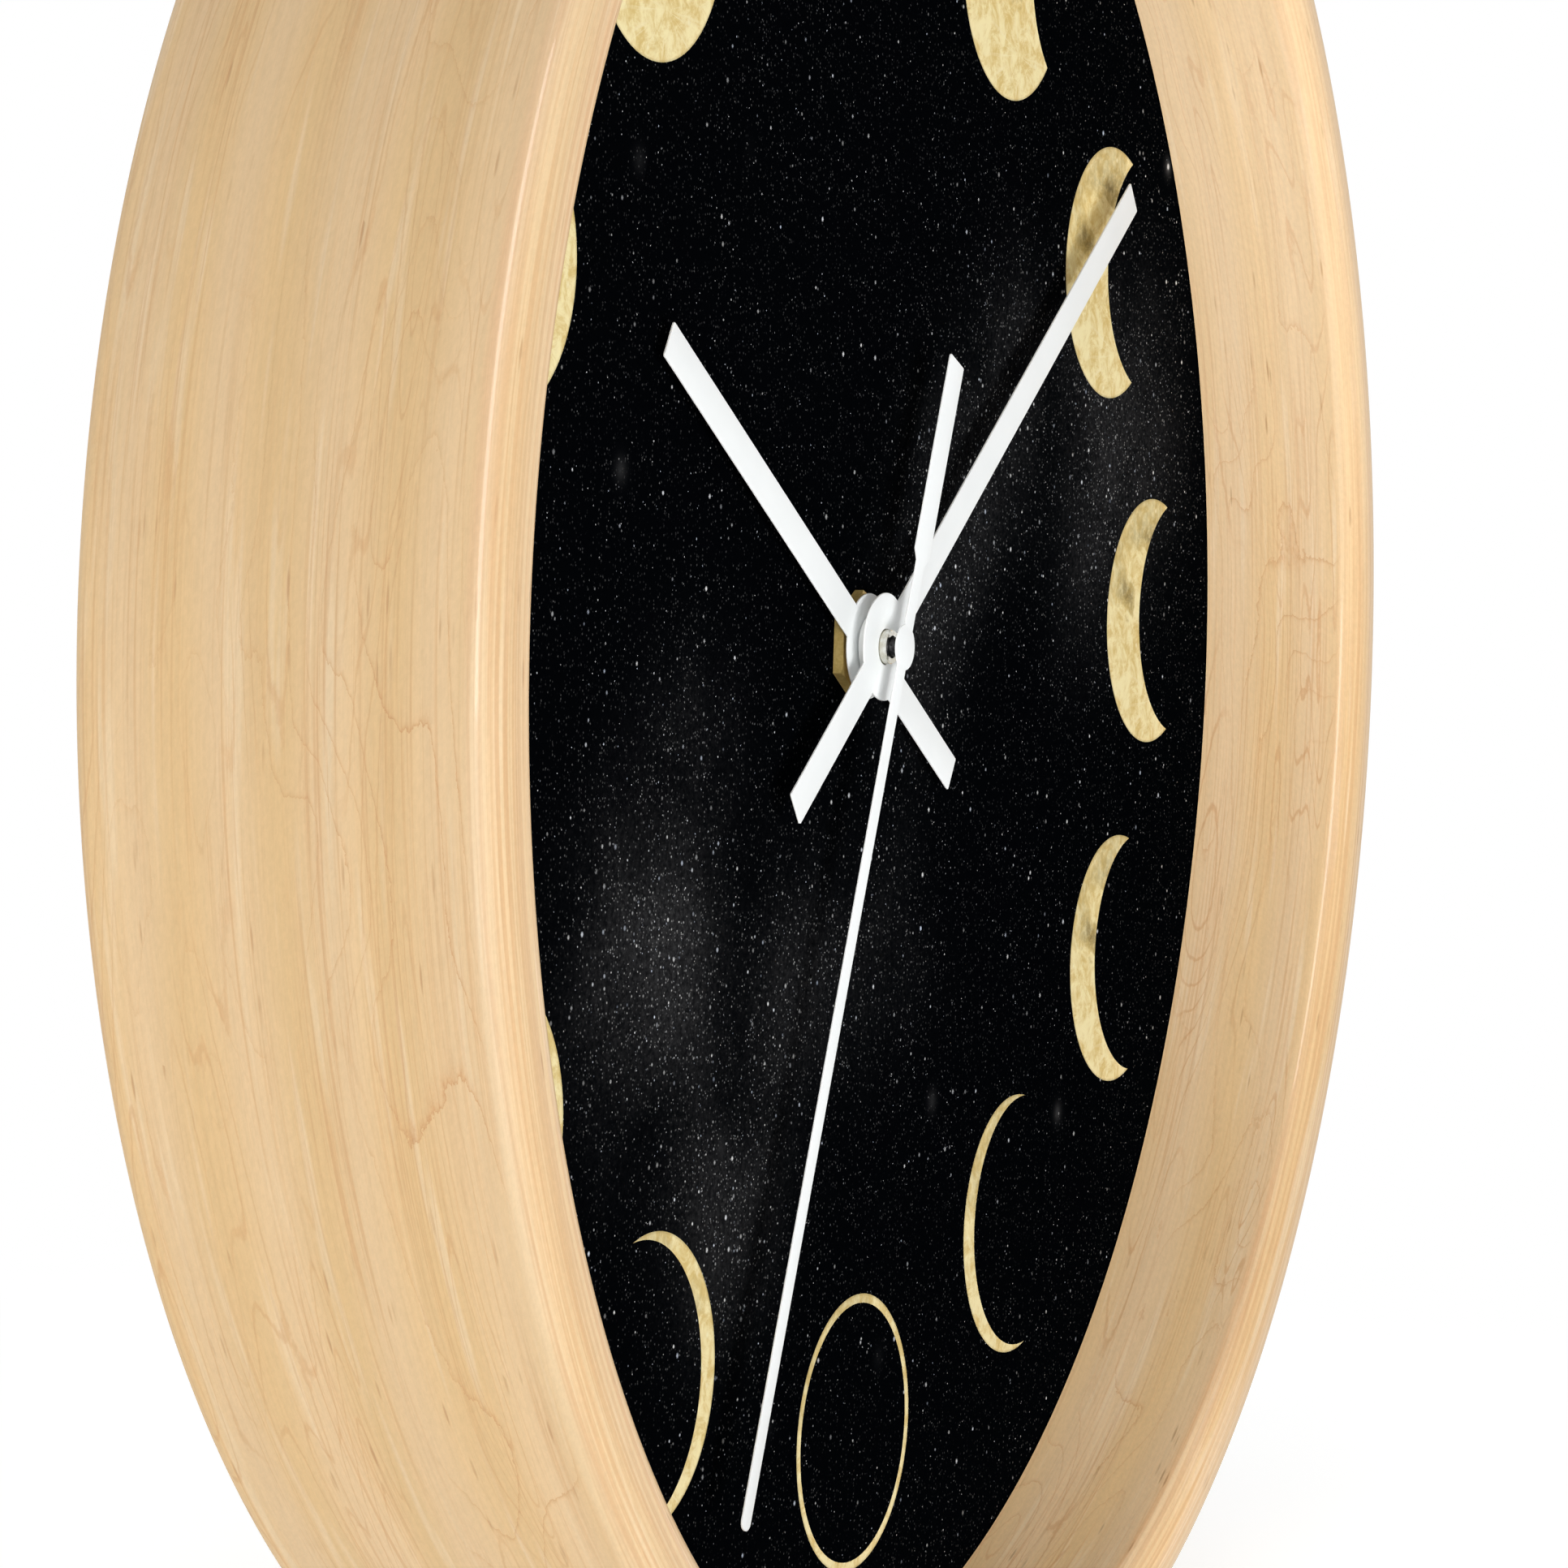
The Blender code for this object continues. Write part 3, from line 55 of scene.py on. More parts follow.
# %% [markdown]
# ## Camera
# The photograph looks at the clock from its left, almost level, with a long lens. The place
# and the angles come from fitting a pinhole camera to the hoop's and the dial's edges.


# %% Camera
def put_in_scene(name, data):
    """Makes an object of a mesh, a lamp or a camera and puts it in the scene."""
    made = bpy.data.objects.new(name, data)
    bpy.context.collection.objects.link(made)
    return made


CAMERA_AT = Vector((-0.5077, -0.2453, -0.05531))
YAW, PITCH, ROLL = math.radians(65.53), math.radians(-1.02), math.radians(1.81)
LENS_MM, FILM_MM = 112.33, 36

lens = bpy.data.cameras.new("photo_camera")
lens.lens = LENS_MM
lens.sensor_width = FILM_MM
lens.sensor_fit = "HORIZONTAL"
lens.clip_start = 0.01
camera = put_in_scene("photo_camera", lens)
camera.matrix_world = (
    Matrix.Translation(CAMERA_AT) @ Matrix.Rotation(-YAW, 4, "Z")
    @ Matrix.Rotation(math.pi / 2 + PITCH, 4, "X") @ Matrix.Rotation(ROLL, 4, "Z")
)
bpy.context.scene.camera = camera
bpy.context.scene.view_settings.view_transform = "Standard"
print("camera at", tuple(round(c, 3) for c in CAMERA_AT), "with a", LENS_MM, "mm lens")

# %% [markdown]
# ## Finishes: small tools
# A finish is a little network of nodes. These helpers keep the wiring short: `add` makes a
# node and joins it up, `wire` does the same and gives back what comes out of it, `blend`
# mixes two colours, and `ease` turns a range of numbers into a soft step from one value to
# another. What comes out of a node can be added and multiplied like a number, and `calc`
# does the sums that have no sign of their own, such as a sine.


# %% Wiring helpers
class Value:
    """What comes out of a node. A sum that is written with it adds the nodes for that sum."""

    def __init__(self, socket):
        self.socket = socket
        self.tree = socket.id_data

    def __add__(self, other):
        return calc("ADD", self, other)

    def __sub__(self, other):
        return calc("SUBTRACT", self, other)

    def __rsub__(self, other):
        return calc("SUBTRACT", other, self)

    def __mul__(self, other):
        return calc("MULTIPLY", self, other)

    def __truediv__(self, other):
        return calc("DIVIDE", self, other)

    def __pow__(self, other):
        return calc("POWER", self, other)

    def __rpow__(self, other):
        return calc("POWER", other, self)


def plug(node, inputs):
    """Sets a node's inputs by name or number. What comes from another node is linked."""
    for key, value in inputs.items():
        if isinstance(value, Value):
            node.id_data.links.new(value.socket, node.inputs[key])
        else:
            node.inputs[key].default_value = value


def add(tree, kind, inputs=None, **settings):
    made = tree.nodes.new(kind)
    for key, value in settings.items():
        setattr(made, key, value)
    plug(made, inputs or {})
    return made


def wire(tree, kind, inputs=None, output=0, **settings):
    return Value(add(tree, kind, inputs, **settings).outputs[output])


def calc(operation, *values, clamp=False):
    tree = next(value.tree for value in values if isinstance(value, Value))
    inputs = dict(enumerate(values))
    return wire(tree, "ShaderNodeMath", inputs, operation=operation, use_clamp=clamp)


def ease(value, start, end, low=0.0, high=1.0):
    ends = {"Value": value, "From Min": start, "From Max": end, "To Min": low, "To Max": high}
    return wire(value.tree, "ShaderNodeMapRange", ends, interpolation_type="SMOOTHSTEP")


def blend(share, first, second, mode="MIX"):
    tree = (share if isinstance(share, Value) else first).tree
    colours = {0: share, 6: first, 7: second}
    return wire(tree, "ShaderNodeMix", colours, 2, data_type="RGBA", blend_type=mode)


def parts_of(place):
    """The x, y and z of a place."""
    apart = add(place.tree, "ShaderNodeSeparateXYZ", {0: place})
    return [Value(socket) for socket in apart.outputs]


def reach_of(place):
    """How far a place is from the origin of its coordinates."""
    return wire(place.tree, "ShaderNodeVectorMath", {0: place}, "Value", operation="LENGTH")


# %% Colours and patterns
def paint(red, green, blue):
    """A colour as a photograph's 0 to 255 numbers, turned into the linear light of a shader."""
    shares = [c / 255 for c in (red, green, blue)]
    linear = [s / 12.92 if s <= 0.04045 else ((s + 0.055) / 1.055) ** 2.4 for s in shares]
    return (*linear, 1.0)


def own_place(tree):
    """The piece's own coordinates, in metres."""
    return wire(tree, "ShaderNodeTexCoord", output="Object")


def millimetres(place, stretch=(1, 1, 1), shift=(0, 0, 0)):
    """A place in millimetres, stretched so that grain runs one way."""
    scale = tuple(1000 / s for s in stretch)
    mapping = {"Vector": place, "Scale": scale, "Location": shift}
    return wire(place.tree, "ShaderNodeMapping", mapping)


def grainy(place, scale, detail=3.0, rough=0.55, bend=0.0):
    values = {
        "Vector": place, "Scale": scale, "Detail": detail, "Roughness": rough, "Distortion": bend,
    }
    return wire(place.tree, "ShaderNodeTexNoise", values)


def own_grain(tree, scale, detail, rough=0.55, bend=0.0, stretch=(1, 1, 1)):
    """Noise in the piece's own coordinates."""
    return grainy(millimetres(own_place(tree), stretch), scale, detail, rough, bend)


def cells(place, scale):
    """Scattered cells: the distance from each cell's middle, and a random share per cell."""
    made = add(place.tree, "ShaderNodeTexVoronoi", {"Vector": place, "Scale": scale})
    lot = wire(place.tree, "ShaderNodeSeparateColor", {"Color": Value(made.outputs["Color"])})
    return Value(made.outputs["Distance"]), lot


def finish(name):
    """A new finish, with its node tree and its main shader."""
    made = bpy.data.materials.new(name)
    made.use_nodes = True
    return made, made.node_tree, made.node_tree.nodes["Principled BSDF"]


def relief(shader, height, depth):
    """Lets a pattern catch the light as if it stood `depth` metres high."""
    bump = {"Height": height, "Distance": depth, "Strength": 1.0}
    plug(shader, {"Normal": wire(height.tree, "ShaderNodeBump", bump)})


def dress(node, material):
    """Gives a CAD node a new finish."""
    for slot in nodes[node].material_slots:
        slot.material = material


print("a mid grey of 128 is", round(paint(128, 128, 128)[0], 3), "in linear light")

# %% [markdown]
# ## Light
# The photograph has the even light of a white tent. The wall inside the hoop is as bright as
# the outside, so most light comes from a broad ring in front of the clock and round it, and
# little from straight behind. Surfaces that face down and left are the brightest, and those
# that face up are about a third darker. So the tent of this scene has a bright ring that is
# stronger below, and a soft screen behind for the back. A tall strip lamp on the left only
# shows in glossy reflections and draws the bright line along the hoop's rounded edges. A
# soft lamp in front and to the left makes the hands' shadows, and isn't mirrored. A second
# one stands behind the dial's plane on the right, where it lights the hoop's far side only.

# %% Tent
RING_LEVEL = 2.3
FRONT_LEVEL = 0.10
SIDE_LEVEL = 0.10
BACK_LEVEL = 3.1
LOW_SHARE, LEFT_SHARE = 0.22, 0.05  # how much stronger it is below and on the left
PURE_WHITE = (1, 1, 1, 1)

world = bpy.data.worlds.new("white_tent")
world.use_nodes = True
bpy.context.scene.world = world
sky = world.node_tree
sky.nodes.clear()
way_x, way_y, way_z = parts_of(wire(sky, "ShaderNodeTexCoord", output="Generated"))
front_part = ease(way_y, -0.46, -0.34, FRONT_LEVEL, RING_LEVEL)
side_part = ease(way_y, -0.16, -0.08)
back_part = ease(way_y, 0.80, 0.92, SIDE_LEVEL, BACK_LEVEL)
around_level = front_part * (1.0 - side_part) + back_part * side_part
tent_level = around_level * (way_x * -LEFT_SHARE + (way_z * -LOW_SHARE + 1.0))
tent_light = wire(sky, "ShaderNodeBackground", {"Color": PURE_WHITE, "Strength": tent_level})
tent_white = wire(sky, "ShaderNodeBackground", {"Color": PURE_WHITE, "Strength": 1.0})


def looked_at(tree):
    """Is 1 where a ray comes straight from the camera, a mirror or a clear piece."""
    rays = add(tree, "ShaderNodeLightPath").outputs
    camera_ray, mirror_ray, clear_ray = (
        Value(rays[f"Is {kind} Ray"]) for kind in ("Camera", "Glossy", "Transmission")
    )
    return calc("MAXIMUM", calc("MAXIMUM", camera_ray, mirror_ray), clear_ray)


chosen_sky = wire(sky, "ShaderNodeMixShader", {0: looked_at(sky), 1: tent_light, 2: tent_white})
add(sky, "ShaderNodeOutputWorld", {"Surface": chosen_sky})
print("tent: ring", RING_LEVEL, "front", FRONT_LEVEL, "side", SIDE_LEVEL, "back", BACK_LEVEL)


# %% Lamps
def softbox(name, direction, distance, width, tall, radiance):
    """A lamp like a white cloth screen: radiance 1 looks as bright as white paper."""
    lamp = bpy.data.lights.new(name, "AREA")
    lamp.shape = "RECTANGLE"
    lamp.size = width
    lamp.size_y = tall
    lamp.energy = radiance * math.pi * width * tall
    screen = put_in_scene(name, lamp)
    away = Vector(direction).normalized()
    screen.location = CLOCK_AXIS + away * distance
    screen.rotation_euler = away.to_track_quat("Z", "Y").to_euler()
    screen.visible_camera = False
    return screen


edge_strip = softbox("edge_strip", (-0.97, -0.25, 0.0), 1.0, 0.16, 2.4, 15.0)
edge_strip.visible_diffuse = False
front_screen = softbox("front_screen", (-0.62, -0.745, -0.20), 1.5, 0.6, 0.6, 16.2)
front_screen.visible_glossy = False
right_screen = softbox("right_screen", (0.95, 0.31, 0.0), 1.5, 0.9, 0.9, 3.2)
right_screen.visible_glossy = False

# %% [markdown]
# ## Maple
# The hoop is one strip of maple, bent round and glued where its slanted ends meet. The
# figure of such wood belongs to the straight strip, so the finish first unrolls the hoop:
# it turns each point into a distance along the strip, a place across it and a depth in it.
# Maple is pale, with soft bands, fine parallel lines, contour lines where the growth rings
# come up to the surface, and short dark flecks. Each of these is one pattern here. Over
# them lies painted light and shade: the outside of the hoop is painted darker, and the
# inside is painted lighter at its top and bottom right and a little darker on its right.

# %% Unroll the strip
STRIP_MIDDLE = 0.1228
SCARF_SLANT = 5.0  # radians per metre of depth, because the glued joint is cut at a slant

maple, tree, shader = finish("maple_lacquered")
place = own_place(tree)
across = parts_of(place)[1]
turned_place = wire(
    tree, "ShaderNodeVectorRotate",
    {"Vector": place, "Center": CLOCK_AXIS, "Angle": across * SCARF_SLANT},
    rotation_type="Y_AXIS",
)
beside_axis, _, height = parts_of(turned_place)
above_axis = height - AXIS_Z
angle = calc("ARCTAN2", beside_axis, above_axis)
radius = calc("SQRT", beside_axis * beside_axis + above_axis * above_axis)
along = angle * STRIP_MIDDLE
strip = wire(tree, "ShaderNodeCombineXYZ", {"X": along, "Y": across, "Z": radius})
print("the strip is", round(2 * math.pi * STRIP_MIDDLE, 3), "m long")

# %% Bands and fine lines
MAPLE_YELLOW = paint(229, 194, 143)
MAPLE_PINK = paint(232, 200, 157)
MAPLE_PALE = paint(240, 216, 180)
MAPLE_LINE = paint(208, 154, 102)
MAPLE_FLECK = paint(172, 124, 76)
BAND_RATE = 0.571  # radians per millimetre, so a band every 11 mm
BAND_WANDER_MM = 15.0


def figure(stretch, shift=(0, 0, 0), detail=2.0, rough=0.5, bend=0.0):
    """Noise in the straight strip: stretch is the figure's size in mm along, across and deep."""
    return grainy(millimetres(strip, stretch, shift), 1.0, detail, rough, bend)


across_mm = across * 1000
wandering = figure((120, 30, 9)) * BAND_WANDER_MM + across_mm
band_wave = calc("SINE", wandering * BAND_RATE)
colour = blend(band_wave * 0.5 + 0.5, MAPLE_YELLOW, MAPLE_PINK)

pale = ease(figure((34, 1.6, 1.6), (7, 2, 5)), 0.56, 0.70, 0.0, 0.55)
colour = blend(pale, colour, MAPLE_PALE)

fine = ease(figure((40, 0.36, 0.36), (3, 1, 2), 3.0, 0.6), 0.50, 0.66)
fine_zone = ease(figure((70, 6, 6), (9, 4, 1)), 0.36, 0.62, 0.25, 1.0)
colour = blend(fine * fine_zone * 0.45, colour, MAPLE_LINE)
print("maple: bands and fine lines")

# %% Growth rings that reach the surface
# A ring darkens slowly and ends sharply, so its line is a saw tooth raised to a power.
RING_COUNT = 17.0
RING_SHARPNESS = 26.0
HAIR_COUNT = 26.0

jag = figure((2.4, 1.0, 1.0), (8, 3, 1), 4.0, 0.65)
ring_field = figure((80, 20, 10), (5, 7, 3), 2.0, 0.5, 0.3)
ring_rise = jag * 0.32 + (ring_field * RING_COUNT + across_mm * 0.15)
ring_line = calc("FRACT", ring_rise) ** RING_SHARPNESS
near_front = ease(across, -0.012, -0.034, 0.28, 0.85)
ring_zone = ease(figure((65, 16, 12), (1, 9, 5), 1.0), 0.36, 0.60, 0.15, 1.0)
rim_zone = ease(across, -0.0401, -0.0413)
off_rim = rim_zone * -0.8 + 1.0
colour = blend(ring_line * ring_zone * off_rim * near_front, colour, MAPLE_LINE)

inside = ease(radius, 0.1205, 0.1250, 1.0, 0.0)
hair_field = figure((120, 12, 9), (6, 1, 9), 2.0, 0.5, 0.4)
hair_rise = jag * 0.3 + hair_field * HAIR_COUNT
hair_off = calc("ABSOLUTE", calc("FRACT", hair_rise) - 0.5)
hair_line = ease(hair_off, 0.02, 0.09, 1.0, 0.0)
hair_zone = ease(figure((50, 9, 9), (3, 3, 1), 1.0), 0.44, 0.60, 0.0, 0.55)
hair_share = hair_line * hair_zone * (inside * 0.35 + 0.65) * off_rim
colour = blend(hair_share, colour, MAPLE_LINE)
print("maple: growth rings")

# %% Fibres, clouds, and painted light and shade along the inside
# Each of these is a factor near 1 that the colour is multiplied by.
fibres = figure((16, 0.40, 0.40), (0, 0, 0), 4.0, 0.65)
tone = ease(fibres, 0.3, 0.7, 0.972, 1.022)
cloud = ease(figure((130, 5.0, 12), (2, 2, 8)), 0.3, 0.7, 0.965, 1.030)
pores = ease(figure((0.8, 0.4, 0.4), (6, 6, 6), 4.0, 0.7), 0.3, 0.7, 0.962, 1.034)
# Painted light and shade on the inside of the hoop: a little darker on the right, lighter towards
# the bottom right.
painted_shade_right = ease(angle, 0.7, 1.45, 1.04, 0.96)
painted_light_low = ease(angle, 2.0, 2.5, 1.0, 1.19)
painted_light_drift = (painted_shade_right * painted_light_low - 1.0) * inside + 1.0
shade = tone * cloud * pores * painted_light_drift
print("maple: fibres, clouds and drift")

# %% Pale parts, end grain of the rim, and painted light and shade on each side
# The rim cuts across the layers of the strip, so its lines are the finest and run round it.
# Painted shade darkens the outside of the hoop, and painted light lifts the inside a little.
OUTSIDE_PAINTED_SHADE = (0.865, 0.85, 0.815, 1)
INSIDE_PAINTED_LIGHT = (1.01, 1.01, 1.02, 1)

colour = blend(rim_zone * (inside * -0.4 + 0.4), colour, MAPLE_PALE)
rim_grain = figure((80, 3, 0.30), (4, 4, 5.07), 3.0, 0.65)
rim_line = rim_zone * ease(rim_grain, 0.40, 0.60, 0.42, 0.0)
colour = blend(rim_line, colour, MAPLE_LINE)
# Painted light: the inside of the hoop is paler towards its top.
painted_light_top = ease(angle, -0.3, 0.3) * ease(angle, 0.8, 1.5, 0.35, 0.0)
colour = blend(painted_light_top * inside, colour, MAPLE_PALE)
grey = wire(tree, "ShaderNodeCombineColor", {0: shade, 1: shade, 2: shade})
colour = blend(1.0, colour, grey, "MULTIPLY")
# Painted shade on the outside, painted light on the inside.
side_painted_light_and_shade = blend(ease(radius, 0.1205, 0.1250), INSIDE_PAINTED_LIGHT, OUTSIDE_PAINTED_SHADE)
colour = blend(1.0, colour, side_painted_light_and_shade, "MULTIPLY")
print("maple: rim and sides")

# %% Flecks, the glued joint and the lacquer
cell_far, cell_lot = cells(millimetres(strip, (7, 0.7, 0.7)), 1.0)
near_cell = ease(cell_far, 0.10, 0.30, 1.0, 0.0)
fleck_zone = ease(figure((25, 4, 4), (2, 8, 3)), 0.46, 0.62)
fleck = near_cell * (ease(cell_lot, 0.68, 0.80) * fleck_zone)
colour = blend(fleck * 0.55, colour, MAPLE_FLECK)

scarf = ease(calc("ABSOLUTE", angle), math.pi - 0.0028, math.pi - 0.0008)
colour = blend(scarf * 0.6, colour, MAPLE_FLECK)
plug(shader, {
    "Base Color": colour, "Roughness": 0.50, "Specular IOR Level": 0.35,
    "Coat Weight": 0.3, "Coat Roughness": 0.10,
})
ripple = figure((0.35, 2.6, 2.6), (4, 9, 9))
worn = fibres * 0.5 + ripple * 0.3 - calc("MAXIMUM", fleck, scarf)
relief(shader, worn, 0.000025)
print("maple nodes:", len(tree.nodes))

# %% [markdown]
# ## Turned pieces
# A turner cuts a round piece from one profile. The same idea makes a mesh here: a list of
# (radius, depth) points is swept round the clock's axis. Edges sharper than 35 degrees stay
# crisp and the rest is smooth.


# %% Sweep a profile
def place_piece(name, bm, material, sharp_above=35):
    """Turns a bmesh into a piece with its faces outwards and its place in its mesh."""
    bmesh.ops.recalc_face_normals(bm, faces=bm.faces[:])
    mesh = bpy.data.meshes.new(name)
    bm.to_mesh(mesh)
    bm.free()
    mesh.materials.append(material)
    mesh.shade_smooth()
    mesh.set_sharp_from_angle(angle=math.radians(sharp_above))
    mesh.calc_loop_triangles()
    print(f"{name}: {len(mesh.loop_triangles)} triangles")
    return put_in_scene(name, mesh)


def sweep(bm, profile_at, segments, centre=(AXIS_X, AXIS_Z)):
    """Adds a turned shape. At each angle `profile_at` gives the closed profile there."""
    columns = []
    for i in range(segments):
        turn = 2 * math.pi * i / segments
        columns.append([
            bm.verts.new((centre[0] + r * math.sin(turn), y, centre[1] + r * math.cos(turn)))
            for r, y in profile_at(turn)
        ])
    for i, column in enumerate(columns):
        beside = columns[(i + 1) % segments]
        for j in range(len(column)):
            k = (j + 1) % len(column)
            bm.faces.new((column[j], column[k], beside[k], beside[j]))
    bmesh.ops.remove_doubles(bm, verts=bm.verts[:], dist=1e-8)


def turned(name, profile, segments, material, centre=(AXIS_X, AXIS_Z)):
    """A piece of its own from one profile."""
    bm = bmesh.new()
    sweep(bm, lambda turn: profile, segments, centre)
    return place_piece(name, bm, material)


def rounded(centre_r, centre_y, radius, start, end, steps):
    """Profile points on an arc, by angle from the outward direction towards the wall."""
    turns = [math.radians(start + (end - start) * i / steps) for i in range(steps + 1)]
    return [(centre_r + radius * math.cos(t), centre_y + radius * math.sin(t)) for t in turns]


# %% [markdown]
# ## The hoop
# Seen close, the hoop's front edges are round, with a radius of almost half its wall, and
# its back has a step that the dial board sits in. The CAD hoop has the same profile with
# fewer facets, so this finer one takes its place. Smooth shading blends the light over
# neighbouring faces, so a narrow strip of flat wall beside each rounded edge keeps the
# broad wall evenly lit.

# %% Maple hoop
RIM_ROUND = 0.00375
REBATE_RADIUS = 0.1215
REBATE_FLOOR = -0.0225
BACK_ROUND = 0.0009
FLAT_STRIP = 0.0006
HOOP_SEGMENTS = 360

rim_middle = HOOP_FRONT + RIM_ROUND
corner = BACK_ROUND / 3
hoop_profile = [
    *rounded(HOOP_BORE + RIM_ROUND, rim_middle, RIM_ROUND, 180, 270, 12),
    *rounded(HOOP_RADIUS - RIM_ROUND, rim_middle, RIM_ROUND, 270, 360, 12),
    (HOOP_RADIUS, rim_middle + FLAT_STRIP), (HOOP_RADIUS, -BACK_ROUND - FLAT_STRIP),
    (HOOP_RADIUS, -BACK_ROUND), (HOOP_RADIUS - corner, -corner), (HOOP_RADIUS - BACK_ROUND, 0),
    (REBATE_RADIUS + corner, 0), (REBATE_RADIUS, -corner), (REBATE_RADIUS, -BACK_ROUND),
    (REBATE_RADIUS, REBATE_FLOOR), (HOOP_BORE, REBATE_FLOOR), (HOOP_BORE, rim_middle + FLAT_STRIP),
]
hoop = turned("maple_hoop", hoop_profile, HOOP_SEGMENTS, maple)
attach(hoop, "clock")
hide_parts("wood_hoop")

# %% [markdown]
# ## The printed sky
# The dial is a matt print: almost black, with a pale haze that lies across it from lower
# left to upper right, as the Milky Way does. Ink doesn't shine, so the shader's specular
# level is zero, otherwise the black would turn grey. Very faint stars are part of this
# finish, and the brighter ones are separate small discs, made further down.

# %% Where the haze lies
# Each line: the middle of a cloud on the dial (x, z in millimetres), its reach, its strength.
HAZE_CLOUDS = (
    (84, 28, 20, 1.05), (46, 34, 13, 0.8), (30, 20, 13, 0.9), (18, 1, 11, 0.9),
    (70, 5, 11, 0.2), (-50, -35, 17, 1.15), (-29, -62, 14, 0.8), (-12, -40, 14, 0.55),
    (12, -34, 14, 0.4), (-40, -11, 11, 0.4),
)
EULER = 2.718


def fade(amount):
    """Falls from 1 towards 0 as the amount grows: e to the power of minus the amount."""
    return EULER ** (amount * -1.0)


def haze_at(place_mm):
    """How strong the haze is at a place on the dial. It works in both kinds of node tree."""
    stir = grainy(place_mm, 0.045, 4.0, 0.6)
    total = 0.0
    for x, z, cloud_reach, strength in HAZE_CLOUDS:
        ends = {0: place_mm, 1: (x, 0, z)}
        off = wire(place_mm.tree, "ShaderNodeVectorMath", ends, "Value", operation="DISTANCE")
        share = off / cloud_reach
        total = fade(share * share) * strength + total
    return calc("MULTIPLY", total, stir * 1.7 - 0.35, clamp=True)


print("haze clouds:", len(HAZE_CLOUDS))

# %% Dial print
SKY_BLACK = paint(3, 4, 6)
SKY_HAZE = paint(52, 52, 53)
MATT = {"Specular IOR Level": 0.0, "Roughness": 0.8}

print_ink, tree, shader = finish("night_print")
centred = {0: own_place(tree), 1: -CLOCK_AXIS}
spot = wire(tree, "ShaderNodeVectorMath", centred, operation="ADD")
spot_mm = wire(tree, "ShaderNodeVectorMath", {0: spot, "Scale": 1000}, operation="SCALE")
haze = haze_at(spot_mm) * ease(grainy(spot_mm, 1.3, 4.0, 0.8), 0.36, 0.72, 0.45, 1.7)
ink = blend(calc("POWER", haze, 1.3, clamp=True), SKY_BLACK, SKY_HAZE)
print("dial print: black and haze")

# %% Faintest stars and a few halos, in the print itself
dust_far, dust_lot = cells(spot_mm, 2.1)
dust = ease(dust_far, 0.10, 0.36, 1.0, 0.0)
dim = dust_lot ** 3.0 * (haze * 0.95 + 0.10)
ink = blend(calc("MULTIPLY", dust, dim, clamp=True), ink, paint(210, 210, 210))
halo_far, halo_lot = cells(spot_mm, 0.07)
halo_core = ease(halo_far, 0.014, 0.036, 0.9, 0.0)
halo_light = (fade(halo_far / 0.050 * 1.6) * 0.30 + halo_core) * ease(halo_lot, 0.76, 0.78)
ink = blend(halo_light, ink, paint(205, 205, 207))
plug(shader, {"Base Color": ink, **MATT})
dress("dial_sheet", print_ink)
print("dial print nodes:", len(tree.nodes))

# %% [markdown]
# ## Stars
# Some thousands of stars would be slow to place by hand, and they follow a simple rule:
# scattered anywhere, closer together in the haze, most of them small. That is work for
# Geometry Nodes. The tree below covers the dial with random points, drops most of those
# outside the haze, and puts a little six-sided disc on each. A number called glow is 1 in
# the middle of a disc and 0 at its edge, which makes the dots soft, and two more numbers
# give each star its own brightness and tint.

# %% Star finish
star_ink, tree, shader = finish("star_print")
glow, bright, tint = (
    wire(tree, "ShaderNodeAttribute", output="Fac", attribute_name=name)
    for name in ("glow", "brightness", "tint")
)
star_colour = blend(tint, paint(228, 228, 228), paint(205, 216, 236))
lit = ease(glow, 0.0, 0.75) * bright
plug(shader, {"Base Color": blend(lit, SKY_BLACK, star_colour), **MATT})
print("star finish nodes:", len(tree.nodes))


# %% Star tree
def rule_tree(name, wanted_inputs):
    """A Geometry Nodes tree: it, its inputs' identifiers and values, and its output node."""
    rule = bpy.data.node_groups.new(name, "GeometryNodeTree")
    make = rule.interface.new_socket
    make(name="Geometry", in_out="OUTPUT", socket_type="NodeSocketGeometry")
    identifiers = {}
    for label, kind, value in wanted_inputs:
        socket = make(name=label, in_out="INPUT", socket_type="NodeSocket" + kind)
        if value is not None:
            socket.default_value = value
        identifiers[label] = socket.identifier
    outputs = add(rule, "NodeGroupInput").outputs
    given = {label: Value(outputs[label]) for label in identifiers}
    print(f"{name} takes:", list(identifiers))
    return rule, identifiers, given, add(rule, "NodeGroupOutput")


def random_share(tree, seed):
    """A number between 0 and 1, another one for each point."""
    return wire(tree, "FunctionNodeRandomValue", {"Seed": seed}, 1, data_type="FLOAT")


def keep_number(geometry, name, value, domain):
    """Keeps a number on a mesh or its instances under a name that the finish can read."""
    kept = {"Geometry": geometry, "Name": name, "Value": value}
    return wire(
        geometry.tree, "GeometryNodeStoreNamedAttribute", kept, data_type="FLOAT", domain=domain,
    )


UPRIGHT = (math.pi / 2, 0, 0)
g, star_inputs, given, star_result = rule_tree("scattered_stars", (
    ("Dial radius", "Float", 0.1181),
    ("Clear middle", "Float", 0.0062),
    ("Stars per square metre", "Float", 1.0e6),
    ("Smallest radius", "Float", 0.00011),
    ("Largest radius", "Float", 0.00042),
    ("Seed", "Int", 7),
    ("Ink", "Material", None),
))

